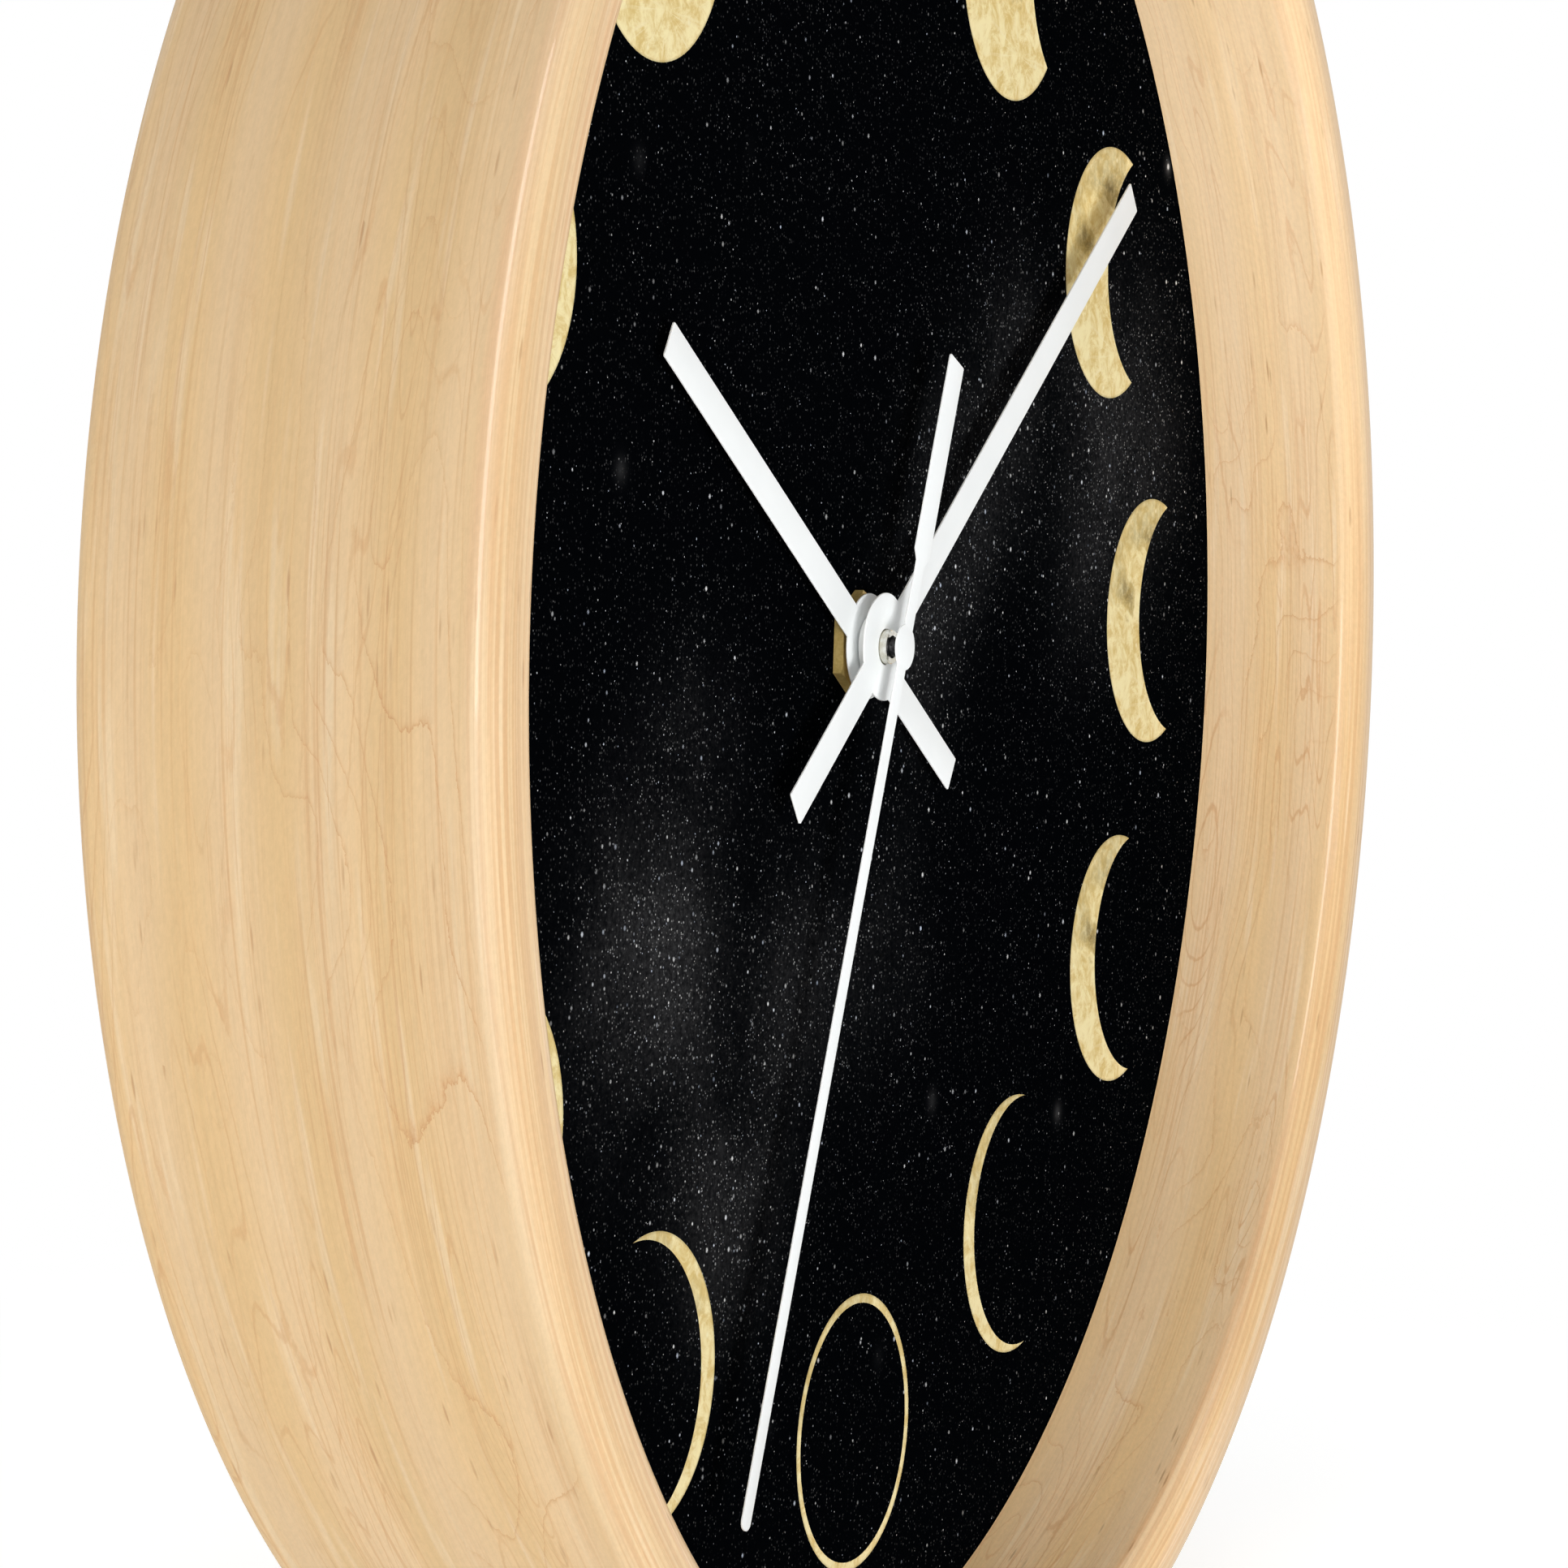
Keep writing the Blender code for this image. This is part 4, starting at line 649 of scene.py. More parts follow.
# %% Scatter, thin out, and put a disc on each point
sheet_size = {"Vertices": 64, "Radius": given["Dial radius"]}
sheet = wire(g, "GeometryNodeMeshCircle", sheet_size, fill_type="NGON")
upright = wire(g, "GeometryNodeTransform", {"Geometry": sheet, "Rotation": UPRIGHT})
points = wire(
    g, "GeometryNodeDistributePointsOnFaces",
    {"Mesh": upright, "Density": given["Stars per square metre"], "Seed": given["Seed"]},
)
here = wire(g, "GeometryNodeInputPosition")
here_mm = wire(g, "ShaderNodeVectorMath", {0: here, "Scale": 1000}, operation="SCALE")
clumps = wire(g, "ShaderNodeTexNoise", {"Vector": here_mm, "Scale": 0.06, "Detail": 4.0})
wanted = (haze_at(here_mm) + 0.11) * (clumps * 2.2 - 0.1)
too_many = calc("GREATER_THAN", random_share(g, 11), wanted)
hidden = calc("LESS_THAN", reach_of(here), given["Clear middle"])
dropped = {"Geometry": points, "Selection": calc("ADD", too_many, hidden, clamp=True)}
kept = wire(g, "GeometryNodeDeleteGeometry", dropped, domain="POINT")
disc = wire(g, "GeometryNodeMeshCircle", {"Vertices": 6, "Radius": 1.0}, fill_type="TRIANGLE_FAN")
disc_up = wire(g, "GeometryNodeTransform", {"Geometry": disc, "Rotation": UPRIGHT})
falling = 1.0 - reach_of(wire(g, "GeometryNodeInputPosition"))
soft_disc = keep_number(disc_up, "glow", falling, "POINT")

# %% Size, brightness and tint of each star
STAR_LIFT = 0.00002

spread = given["Largest radius"] - given["Smallest radius"]
star_size = random_share(g, 23) ** 7.0 * spread + given["Smallest radius"]
discs = {"Points": kept, "Instance": soft_disc, "Scale": star_size}
stars_made = wire(g, "GeometryNodeInstanceOnPoints", discs)
glare = random_share(g, 31) ** 2.0 * 0.80 + 0.20
stars_made = keep_number(stars_made, "brightness", glare, "INSTANCE")
stars_made = keep_number(stars_made, "tint", random_share(g, 43) ** 3.0, "INSTANCE")
stars_made = wire(g, "GeometryNodeRealizeInstances", {"Geometry": stars_made})
on_dial = {"Geometry": stars_made, "Translation": (AXIS_X, DIAL_Y - STAR_LIFT, AXIS_Z)}
stars_made = wire(g, "GeometryNodeTransform", on_dial)
inked = {"Geometry": stars_made, "Material": given["Ink"]}
plug(star_result, {0: wire(g, "GeometryNodeSetMaterial", inked)})
print("star tree nodes:", len(g.nodes))


# %% Bake the stars into a plain mesh
def grown(name, rule, inputs, values):
    """Runs a Geometry Nodes tree once and keeps its result as a plain mesh piece."""
    seed_object = put_in_scene(name + "_seed", bpy.data.meshes.new(name + "_seed"))
    growing = seed_object.modifiers.new(name, "NODES")
    growing.node_group = rule
    for label, value in values.items():
        growing[inputs[label]] = value
    settled = seed_object.evaluated_get(bpy.context.evaluated_depsgraph_get())
    mesh = bpy.data.meshes.new_from_object(settled)
    mesh.name = name
    seed_object.modifiers.remove(growing)
    bpy.data.objects.remove(seed_object)
    print(f"{name}: {len(mesh.polygons)} faces")
    return put_in_scene(name, mesh)


stars = grown("printed_stars", g, star_inputs, {"Ink": star_ink})
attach(stars, "clock")

# %% [markdown]
# ## Moons
# Twelve moons stand where the numbers would be. Each is the same round moon with its dark
# part cut away by a second circle that is pushed sideways, so a moon is a limb arc and a
# terminator arc with the space between them filled. The further the second circle is
# pushed, the fuller the moon. At six the moon is new and only a thin ring is left, and at
# twelve it is full. Every moon leans a little to the left.

# %% Moon print
MOON_GOLD = paint(224, 197, 129)
MOON_CREAM = paint(250, 236, 184)
MOON_SEA = paint(198, 174, 112)
MOON_DEEP = paint(138, 120, 76)

moon_ink, tree, shader = finish("moon_print")
on_face = wire(tree, "ShaderNodeUVMap", uv_map="moon_face")
aside = wire(tree, "ShaderNodeMapping", {"Vector": on_face, "Location": (2.1, 0.7, 0.0)})
sea_height = parts_of(on_face)[1] * 0.13 + grainy(aside, 1.55, 5.0, 0.5, 0.5)
sea = ease(sea_height, 0.535, 0.58)
dark_sea = blend(ease(sea_height, 0.57, 0.68), MOON_SEA, MOON_DEEP)
mottling = ease(grainy(on_face, 5.0, 6.0, 0.72, 0.6), 0.36, 0.62)
ground = blend(mottling, MOON_GOLD, MOON_CREAM)
limb = reach_of(on_face)
inland = ease(limb, 0.55, 0.92, 1.0, 0.35)
speckled = ease(grainy(on_face, 14.0, 4.0, 0.7), 0.36, 0.60, 0.48, 0.95)
ground = blend(sea * inland * speckled, ground, dark_sea)
print("moon print: ground and dark plains")

# %% Rays, craters and the limb
ray_centre = {0: on_face, 1: (-0.12, 0.66, 0)}
ray_middle = wire(tree, "ShaderNodeVectorMath", ray_centre, operation="ADD")
ray_x, ray_y, _ = parts_of(ray_middle)
ray_angle = calc("ARCTAN2", ray_y, ray_x)
ray_far = reach_of(ray_middle)
ray_place = wire(tree, "ShaderNodeCombineXYZ", {"X": ray_angle * 7.0, "Y": ray_far})
ray = ease(grainy(ray_place, 1.4, 3.0, 0.6), 0.52, 0.70)
ground = blend(ray * ease(ray_far, 0.05, 0.95, 0.75, 0.0), ground, paint(250, 238, 196))
pit_far, pit_lot = cells(on_face, 6.5)
pit_glow = ease(pit_far, 0.03, 0.20, 0.75, 0.0) * ease(pit_lot, 0.62, 0.68)
ground = blend(pit_glow, ground, paint(252, 242, 202))
ground = blend(ease(limb, 0.975, 1.0, 0.0, 0.35), ground, MOON_DEEP)
plug(shader, {"Base Color": ground, **MATT})
print("moon print nodes:", len(tree.nodes))

# %% Moon shapes
MOON_RADIUS = 0.01595
SHADOW_RADIUS = 0.0155
NEW_MOON_INSIDE = 0.0149
MOON_LEAN = math.radians(4.3)
MOON_LEAN_COS, MOON_LEAN_SIN = math.cos(MOON_LEAN), math.sin(MOON_LEAN)
MOON_LIFT = 0.00004  # more than the stars' lift, so the moons hide the stars behind them
ARC_STEPS = 64


def on_circle(reach, turn, centre=0.0):
    return (centre + reach * math.cos(turn), reach * math.sin(turn))


def phase_outline(push):
    """Pairs of (limb, terminator) points of a moon lit on its left, from tip to tip."""
    tip_x = (push**2 + MOON_RADIUS**2 - SHADOW_RADIUS**2) / (2 * push)
    tip_z = math.sqrt(MOON_RADIUS**2 - tip_x**2)
    limb_end = math.atan2(tip_z, -tip_x)
    shadow_end = math.atan2(tip_z, push - tip_x)
    shares = [1 - 2 * i / ARC_STEPS for i in range(ARC_STEPS + 1)]
    limb = [on_circle(-MOON_RADIUS, -limb_end * share) for share in shares]
    terminator = [on_circle(-SHADOW_RADIUS, -shadow_end * share, push) for share in shares]
    return list(zip(limb, terminator))


def ring_pairs(hollow):
    """Pairs of points of a whole ring, or of a full disc where its hollow is nothing."""
    turns = [math.pi * i / ARC_STEPS for i in range(2 * ARC_STEPS + 1)]
    return [(on_circle(MOON_RADIUS, turn), on_circle(hollow, turn)) for turn in turns]


print("a thin moon has", len(phase_outline(0.0029)), "pairs of points")

# %% Place the twelve moons
# Each line: where the moon's middle lies on the dial (x, z in millimetres), how far its
# shadow is pushed (0 is a new moon, None a full one), and which side is lit (-1 left, 1 right).
MOON_PLACES = (
    (42.0, 82.9, 21.6, -1), (78.3, 49.4, 14.3, -1), (96.8, 5.5, 11.3, -1),
    (87.7, -38.5, 8.2, -1), (54.9, -70.2, 2.9, -1), (7.5, -90.3, 0.0, -1),
    (-46.8, -78.4, 2.9, 1), (-84.6, -49.7, 8.2, 1), (-96.5, -7.0, 11.3, 1),
    (-87.4, 36.2, 14.3, 1), (-55.5, 74.8, 21.6, 1), (-6.5, 95.0, None, 1),
)
moon_mesh = bmesh.new()
moon_face = moon_mesh.loops.layers.uv.new("moon_face")
for x_mm, z_mm, push_mm, lit_side in MOON_PLACES:
    if push_mm is None:
        pairs = ring_pairs(0.0)
    elif push_mm == 0:
        pairs = ring_pairs(NEW_MOON_INSIDE)
    else:
        pairs = phase_outline(push_mm / 1000)
    rows = []
    for pair in pairs:
        row = []
        for px, pz in pair:
            px *= -lit_side
            lean_x = px * MOON_LEAN_COS - pz * MOON_LEAN_SIN
            lean_z = px * MOON_LEAN_SIN + pz * MOON_LEAN_COS
            at = (x_mm / 1000 + lean_x, DIAL_Y - MOON_LIFT, AXIS_Z + z_mm / 1000 + lean_z)
            row.append((moon_mesh.verts.new(at), (px / MOON_RADIUS, pz / MOON_RADIUS)))
        rows.append(row)
    for one, two in zip(rows, rows[1:]):
        corners = [one[0], one[1], two[1], two[0]]
        quad = moon_mesh.faces.new([v for v, _ in corners])
        for loop, (_, uv) in zip(quad.loops, corners):
            loop[moon_face].uv = uv
bmesh.ops.dissolve_degenerate(moon_mesh, dist=1e-7, edges=moon_mesh.edges[:])
for quad in moon_mesh.faces:
    quad.normal_update()
    if quad.normal.y > 0:
        quad.normal_flip()
mesh = bpy.data.meshes.new("printed_moons")
moon_mesh.to_mesh(mesh)
moon_mesh.free()
mesh.materials.append(moon_ink)
moons = put_in_scene("printed_moons", mesh)
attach(moons, "clock")
print("moons:", len(MOON_PLACES), "faces:", len(mesh.polygons))

# %% [markdown]
# ## Hands
# The hands are stamped from aluminium sheet less than half a millimetre thick and painted
# white. The press rounds their edges slightly, and that rounding is what catches the light,
# so each hand is built from its outline with a small rounded edge on both faces.

# %% White paint
hand_paint, tree, shader = finish("hand_white_paint")
peel = own_grain(tree, 2.2, 3.0, 0.5)
uneven = ease(own_grain(tree, 0.12, 2.0), 0.3, 0.7)
plug(shader, {
    "Base Color": blend(uneven, paint(241, 244, 244), paint(244, 247, 247)),
    "Roughness": ease(peel, 0.3, 0.7, 0.42, 0.52), "Specular IOR Level": 0.3,
})
relief(shader, peel, 0.000004)
print("hand paint nodes:", len(tree.nodes))


# %% A stamped plate from an outline
def inset(loop, distance):
    """Moves a closed outline inwards. The outline runs anticlockwise, a hole clockwise."""
    moved_points = []
    for i, point in enumerate(loop):
        point = Vector(point)
        before = (point - Vector(loop[i - 1])).normalized()
        after = (Vector(loop[(i + 1) % len(loop)]) - point).normalized()
        normals = Vector((-before.y, before.x)), Vector((-after.y, after.x))
        middle = normals[0] + normals[1]
        middle = middle / max(middle.dot(normals[0]), 0.3)
        moved_points.append(tuple(point + middle * distance))
    return moved_points


def stamped(bm, outline, front, back, edge, holes=(), turn=0.0):
    """Adds a flat plate between two depths to a bmesh, with rounded edges, turned clockwise."""
    cos_turn, sin_turn = math.cos(math.radians(turn)), math.sin(math.radians(turn))
    bends = (0, math.pi / 6, math.pi / 3, math.pi / 2)
    steps = [(edge * (1 - math.sin(b)), edge * (1 - math.cos(b))) for b in bends]
    levels = [(inward, front + deep) for inward, deep in steps]
    levels += [(inward, back - deep) for inward, deep in steps[::-1]]
    ends = ([], [])
    for loop in (outline, *holes):
        count = len(loop)
        rings = [
            [
                bm.verts.new((
                    AXIS_X + x * cos_turn + z * sin_turn, y, AXIS_Z - x * sin_turn + z * cos_turn,
                ))
                for x, z in inset(loop, inward)
            ]
            for inward, y in levels
        ]
        for ring, below in zip(rings, rings[1:]):
            for i in range(count):
                j = (i + 1) % count
                bm.faces.new((ring[i], ring[j], below[j], below[i]))
        for end, ring in zip(ends, (rings[0], rings[-1])):
            end.extend(bm.edges.get((ring[i], ring[(i + 1) % count])) for i in range(count))
    for end in ends:
        bmesh.ops.triangle_fill(bm, use_beauty=True, edges=end)
        for flat_edge in end:
            flat_edge.smooth = False


def arc(radius, start, end, steps, centre=(0.0, 0.0)):
    """Points on a circle, by angle from +x towards +z."""
    turns = [math.radians(start + (end - start) * i / steps) for i in range(steps + 1)]
    return [(centre[0] + radius * math.cos(t), centre[1] + radius * math.sin(t)) for t in turns]


def round_hole(radius, steps=64):
    return arc(radius, 0, 360, steps)[:-1][::-1]


# %% Outline of a hand
HAND_HALF = 0.0021
BAR_CORNER = 0.00025


def hand_outline(length, half, tail, hub, tip_round=BAR_CORNER, neck=None):
    """A hand that points to 12: a bar with rounded corners, a round hub and a tail."""
    side = arc(BAR_CORNER, -90, 0, 5, (HAND_HALF - BAR_CORNER, -tail + BAR_CORNER))
    if neck is not None:
        side += [(HAND_HALF, -neck - (HAND_HALF - half)), (half, -neck)]
    near = math.degrees(math.asin(half / hub))
    side += arc(hub, near - 90, 90 - near, 48)
    side += arc(tip_round, 0, 90, 6, (half - tip_round, length - tip_round))
    return side + [(-x, z) for x, z in side[::-1]]


# Each entry: the node, its body, its front and back face, its hole, its angle, its outline.
HANDS = (
    ("hour_hand", "hours", -0.0243, -0.02405, 0.0028, 299.5,
     hand_outline(0.062, HAND_HALF, 0.0295, 0.0060)),
    ("minute_hand", "minutes", -0.02635, -0.0261, 0.00205, 51.9,
     hand_outline(0.095, HAND_HALF, 0.0295, 0.0061)),
    ("second_hand", "seconds", -0.0288, -0.02855, None, 200.7,
     hand_outline(0.1014, 0.0011, 0.0355, 0.0026, tip_round=0.00099, neck=0.0103)),
)
print("outline points of the hands:", [len(hand[-1]) for hand in HANDS])

# %% The three hands, and the minute hand's collar
PRESS_ROUND = 0.00007
COLLAR_STEPS = 64
COLLAR = [
    (0.00205, -0.0262), (0.00365, -0.0262), (0.00365, -0.0246), (0.00355, -0.0245),
    (0.00205, -0.0245),
]

for node, body, front, back, hole, pointing, outline in HANDS:
    hand_mesh = bmesh.new()
    holes = [round_hole(hole)] if hole else []
    stamped(hand_mesh, outline, front, back, PRESS_ROUND, holes, pointing)
    if node == "minute_hand":
        sweep(hand_mesh, lambda turn: COLLAR, COLLAR_STEPS)
    hand = place_piece(node + "_painted", hand_mesh, hand_paint, 50)
    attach(hand, body)
    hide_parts(node)

# %% [markdown]
# ## The brass nut and the tubes
# A thin hexagon nut clamps the movement to the dial. Nuts are turned on their front face
# before they are cut from the bar, which leaves a 30 degree chamfer that bites off the six
# corners. So the mesh goes round in small steps: the hexagon's radius changes with the
# angle, and there is a chamfer only where that radius is larger than the turned circle.


# %% Metal finishes
def metal(name, bright_colour, dark_colour, rough, speck_scale, brushed=(1, 1, 1), metallic=1.0):
    """Bare metal with small darker specks, and roughness that varies a little."""
    made, tree, shader = finish(name)
    specks = own_grain(tree, speck_scale, 5.0, 0.7, stretch=brushed)
    light_share = ease(specks, 0.38, 0.66)
    plug(shader, {
        "Base Color": blend(light_share, paint(*dark_colour), paint(*bright_colour)),
        "Roughness": ease(specks, 0.3, 0.7, rough + 0.12, rough), "Metallic": metallic,
    })
    relief(shader, specks, 0.000006)
    return made


nut_brass = metal(
    "nut_brass_turned", (218, 192, 122), (198, 170, 98), 0.32, 1.6, metallic=0.55,
)
tube_chrome = metal("tube_chrome_plated", (222, 221, 216), (198, 194, 180), 0.06, 1.2)
dark_tube = metal("second_tube_blued", (70, 70, 72), (34, 34, 36), 0.34, 2.0)
print("metals:", nut_brass.name, tube_chrome.name, dark_tube.name)

# %% Hexagon nut
NUT_FRONT, NUT_BACK = -0.02355, -0.02235
NUT_APOTHEM = 0.0055
NUT_TURNED = 0.0060
NUT_BORE = 0.00415
BORE_CHAMFER = 0.00015
CHAMFER_SLOPE = math.tan(math.radians(30))
NUT_STEPS = 96


def nut_profile(turn):
    from_flat = turn % (math.pi / 3) - math.pi / 6
    reach = NUT_APOTHEM / math.cos(from_flat)
    flat_reach = min(reach, NUT_TURNED)
    drop = (reach - flat_reach) * CHAMFER_SLOPE
    return [
        (NUT_BORE, NUT_FRONT + BORE_CHAMFER), (NUT_BORE + BORE_CHAMFER, NUT_FRONT),
        (flat_reach, NUT_FRONT), (reach, NUT_FRONT + drop), (reach, NUT_BACK),
        (NUT_BORE, NUT_BACK),
    ]


nut_mesh = bmesh.new()
sweep(nut_mesh, nut_profile, NUT_STEPS)
nut = place_piece("hex_nut_chamfered", nut_mesh, nut_brass, 20)
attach(nut, "clock")
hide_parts("hex_nut")

# %% Chrome end and dark tube
CHROME_STEPS, DARK_STEPS = 64, 48

chrome_end = turned("minute_tube_end", [
    (0.00194, -0.0245), (0.00194, -0.02706), (0.00184, -0.02718), (0.00142, -0.02718),
    (0.00130, -0.02706), (0.00130, -0.0263), (0.00150, -0.0263), (0.00150, -0.0245),
], CHROME_STEPS, tube_chrome)
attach(chrome_end, "minutes")
dark_piece = turned("second_tube_turned", [
    (0.00065, -0.0286), (0.00104, -0.0286), (0.0011, -0.02854), (0.0011, -0.02595),
    (0.00065, -0.02595),
], DARK_STEPS, dark_tube)
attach(dark_piece, "seconds")
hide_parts("second_hand_tube")

# %% [markdown]
# ## The back
# Behind the dial the clock is plain: a fibre board in the hoop's step, four glued blocks, a
# zinc plated hanger and a black moulded movement with its battery. Their finishes come
# first: wood chips and rubber, plastics, metals, and the coil and circuit board inside.

# %% Board, pine and rubber finishes
board_finish, tree, shader = finish("fibre_board_pressed")
chips = own_grain(tree, 1.1, 6.0, 0.72, 0.6)
hairs = own_grain(tree, 1.0, 3.0, 0.6, 0.8, stretch=(1.6, 1, 0.25))
chip_tone = blend(ease(chips, 0.33, 0.68), paint(142, 110, 80), paint(188, 154, 116))
chip_tone = blend(ease(hairs, 0.56, 0.68, 0.0, 0.5), chip_tone, paint(104, 78, 54))
plug(shader, {"Base Color": chip_tone, "Roughness": 0.85, "Specular IOR Level": 0.2})
relief(shader, chips, 0.00008)

pine, tree, shader = finish("pine_block")
pine_rings = wire(tree, "ShaderNodeTexWave", {
    "Vector": millimetres(own_place(tree), (6, 1, 1)), "Scale": 0.16, "Distortion": 3.0,
    "Detail": 3.0, "Detail Scale": 0.6,
}, wave_type="BANDS", bands_direction="Z")
pine_hair = own_grain(tree, 1.0, 3.0, 0.6, stretch=(8, 0.4, 0.4))
pine_tone = blend(ease(pine_rings, 0.2, 0.95), paint(224, 190, 140), paint(206, 164, 112))
pine_tone = blend(ease(pine_hair, 0.5, 0.75, 0.0, 0.3), pine_tone, paint(176, 132, 84))
plug(shader, {"Base Color": pine_tone, "Roughness": 0.75})
relief(shader, pine_hair, 0.00006)

rubber, tree, shader = finish("washer_rubber_black")
dusty = own_grain(tree, 1.6, 4.0, 0.6)
rubber_tone = blend(dusty, paint(28, 28, 29), paint(48, 47, 46))
plug(shader, {"Base Color": rubber_tone, "Roughness": 0.82})
relief(shader, dusty, 0.00003)
print("finishes:", board_finish.name, pine.name, rubber.name)


# %% Moulded plastics
def moulded(name, colour, light, grain, rough, depth=0.00001, level=0.4):
    """Injection moulded plastic: an even colour, a fine spark-eroded grain, faint flow marks."""
    made, tree, shader = finish(name)
    fine_grain = own_grain(tree, grain, 2.0, 0.5)
    flow = own_grain(tree, 0.1, 2.0, stretch=(4, 4, 1))
    tone = blend(ease(flow, 0.3, 0.7), paint(*colour), paint(*light))
    sparks = ease(fine_grain, 0.35, 0.7, 0.0, 0.3)
    plug(shader, {
        "Base Color": blend(sparks, tone, paint(*light)), "Specular IOR Level": level,
        "Roughness": ease(fine_grain, 0.3, 0.7, rough, rough + 0.14),
    })
    relief(shader, fine_grain, depth)
    return made


case_black = moulded("case_black_grained", (24, 24, 25), (34, 34, 35), 3.2, 0.46, 0.00002)
wheel_white = moulded("gear_white_acetal", (226, 224, 216), (238, 236, 230), 1.2, 0.36)
plate_grey = moulded("plate_grey_nylon", (150, 152, 156), (168, 170, 172), 2.0, 0.5)
spool_cream = moulded("bobbin_cream", (214, 206, 184), (226, 219, 200), 1.6, 0.5)
chip_black = moulded("chip_epoxy_drop", (14, 14, 15), (24, 24, 25), 0.8, 0.24, 0.00002, 0.5)
print("plastics:", case_black.name, wheel_white.name, plate_grey.name, spool_cream.name)

# %% Metals, coil wire and circuit board
zinc = metal("hanger_zinc_plated", (206, 208, 210), (160, 164, 168), 0.30, 0.7)
nickel = metal("contact_nickel_spring", (214, 210, 198), (176, 170, 156), 0.26, 1.0, (1, 6, 1))
motor_steel = metal(
    "motor_steel_rolled", (176, 176, 178), (136, 136, 140), 0.38, 1.4, (8, 1, 1),
)
can_steel = metal("crystal_can_drawn", (222, 222, 222), (190, 190, 192), 0.22, 1.4, (6, 1, 1))
arbor_steel = metal(
    "arbor_steel_turned", (196, 196, 198), (150, 150, 154), 0.22, 2.4, (1, 0.3, 1),
)
magnet = metal("rotor_magnet_sintered", (78, 78, 82), (48, 48, 52), 0.48, 2.4)

copper, tree, shader = finish("coil_copper_wire")
turns = wire(tree, "ShaderNodeTexWave", {
    "Vector": millimetres(own_place(tree)), "Scale": 1.6, "Distortion": 0.6, "Detail": 1.0,
}, wave_type="BANDS", bands_direction="X")
# The bands are the wire's turns. The dark copper between them is painted shade in the grooves.
copper_turns_and_groove_shade = blend(turns, paint(120, 52, 24), paint(206, 116, 66))
plug(shader, {"Base Color": copper_turns_and_groove_shade, "Metallic": 1.0, "Roughness": 0.32})
relief(shader, turns, 0.00005)

laminate, tree, shader = finish("board_phenolic")
weave = own_grain(tree, 2.0, 4.0, 0.6, stretch=(1, 1, 0.3))
laminate_tone = blend(ease(weave, 0.3, 0.7), paint(128, 92, 48), paint(156, 116, 64))
plug(shader, {"Base Color": laminate_tone, "Roughness": 0.55})
relief(shader, weave, 0.00002)
print("finishes:", zinc.name, copper.name, laminate.name)

# %% Dress the CAD pieces that keep their shape
NEW_FINISHES = {
    board_finish: ("dial_board",), rubber: ("rubber_washer",), plate_grey: ("train_plate",),
    wheel_white: (
        "hour_wheel", "motion_wheel", "centre_wheel", "third_wheel", "seconds_wheel",
        "step_wheel",
    ),
    spool_cream: ("coil_bobbin",), chip_black: ("clock_chip",), tube_chrome: ("minute_tube",),
    nickel: ("positive_contact", "negative_contact"), motor_steel: ("stator_plate", "coil_core"),
    can_steel: ("quartz_crystal",), arbor_steel: ("seconds_arbor",), magnet: ("rotor",),
    copper: ("coil_winding",), laminate: ("circuit_board",),
}
for material, dressed_nodes in NEW_FINISHES.items():
    for node in dressed_nodes:
        dress(node, material)
print("dressed nodes:", sum(len(names) for names in NEW_FINISHES.values()))

# %% [markdown]
# ## Rounded edges
# Moulded and bent pieces never have razor edges. A copy of each CAD piece gets its split
# triangles merged and its edges rounded a little, and then stands for the CAD piece. The
# Weighted Normal modifier keeps the light even on the flats between the rounded edges.

# %% Round the edges of CAD pieces
CORNER_ANGLE = math.radians(40)
FLAT_ANGLE = math.radians(1)


def softened(name, node, edge, material):
    """A copy of a CAD node with its edges rounded."""
    bm = bmesh.new()
    bm.from_mesh(nodes[node].data)
    bmesh.ops.remove_doubles(bm, verts=bm.verts[:], dist=1e-6)
    bmesh.ops.dissolve_limit(bm, angle_limit=FLAT_ANGLE, verts=bm.verts[:], edges=bm.edges[:])
    corners = [
        e for e in bm.edges if len(e.link_faces) == 2 and e.calc_face_angle(0) > CORNER_ANGLE
    ]
    bmesh.ops.bevel(
        bm, geom=corners, offset=edge, offset_type="OFFSET", segments=2, profile=0.5,
        affect="EDGES", clamp_overlap=True,
    )
    bmesh.ops.triangulate(bm, faces=[f for f in bm.faces if len(f.verts) > 4])
    rounded_piece = place_piece(name, bm, material)
    even = rounded_piece.modifiers.new("even_flats", "WEIGHTED_NORMAL")
    even.keep_sharp = True
    even.weight = 100
    return rounded_piece


# Each line: the CAD node, the new piece's ending, its body, its edge, its finish and its slot.
SOFT_PIECES = (
    *((f"glue_block_{n}", "_sawn", "clock", 0.0005, pine, "block_wood") for n in range(1, 5)),
    ("movement_front", "_moulded", "clock", 0.0002, case_black, "case_plastic"),
    ("movement_back", "_moulded", "clock", 0.0002, case_black, "case_plastic"),
    ("setting_knob", "_moulded", "knob", 0.0001, wheel_white, "gear_plastic"),
    ("hanger_plate", "_bent", "clock", 0.00012, zinc, "hanger_steel"),
)
for node, ending, body, edge, material, slot in SOFT_PIECES:
    piece = softened(node + ending, node, edge, material)
    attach(piece, body)
    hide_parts(node)

# %% [markdown]
# ## Moulded detail on the back
# A thumb turns the setting knob, so its flat face has raised ribs like the rays of a sun,
# and a bead round the middle. The ribs repeat, so a small Geometry Nodes tree lays one
# half-sunk round bar on each point of a circle. The case carries raised marks beside them:
# curved arrows round the knob, and a plus and a minus sign above the battery.

# %% Knob rib tree
CASE_BACK = -0.0015
KNOB_AWAY = 0.012728
RIB_ROUND = 0.00024

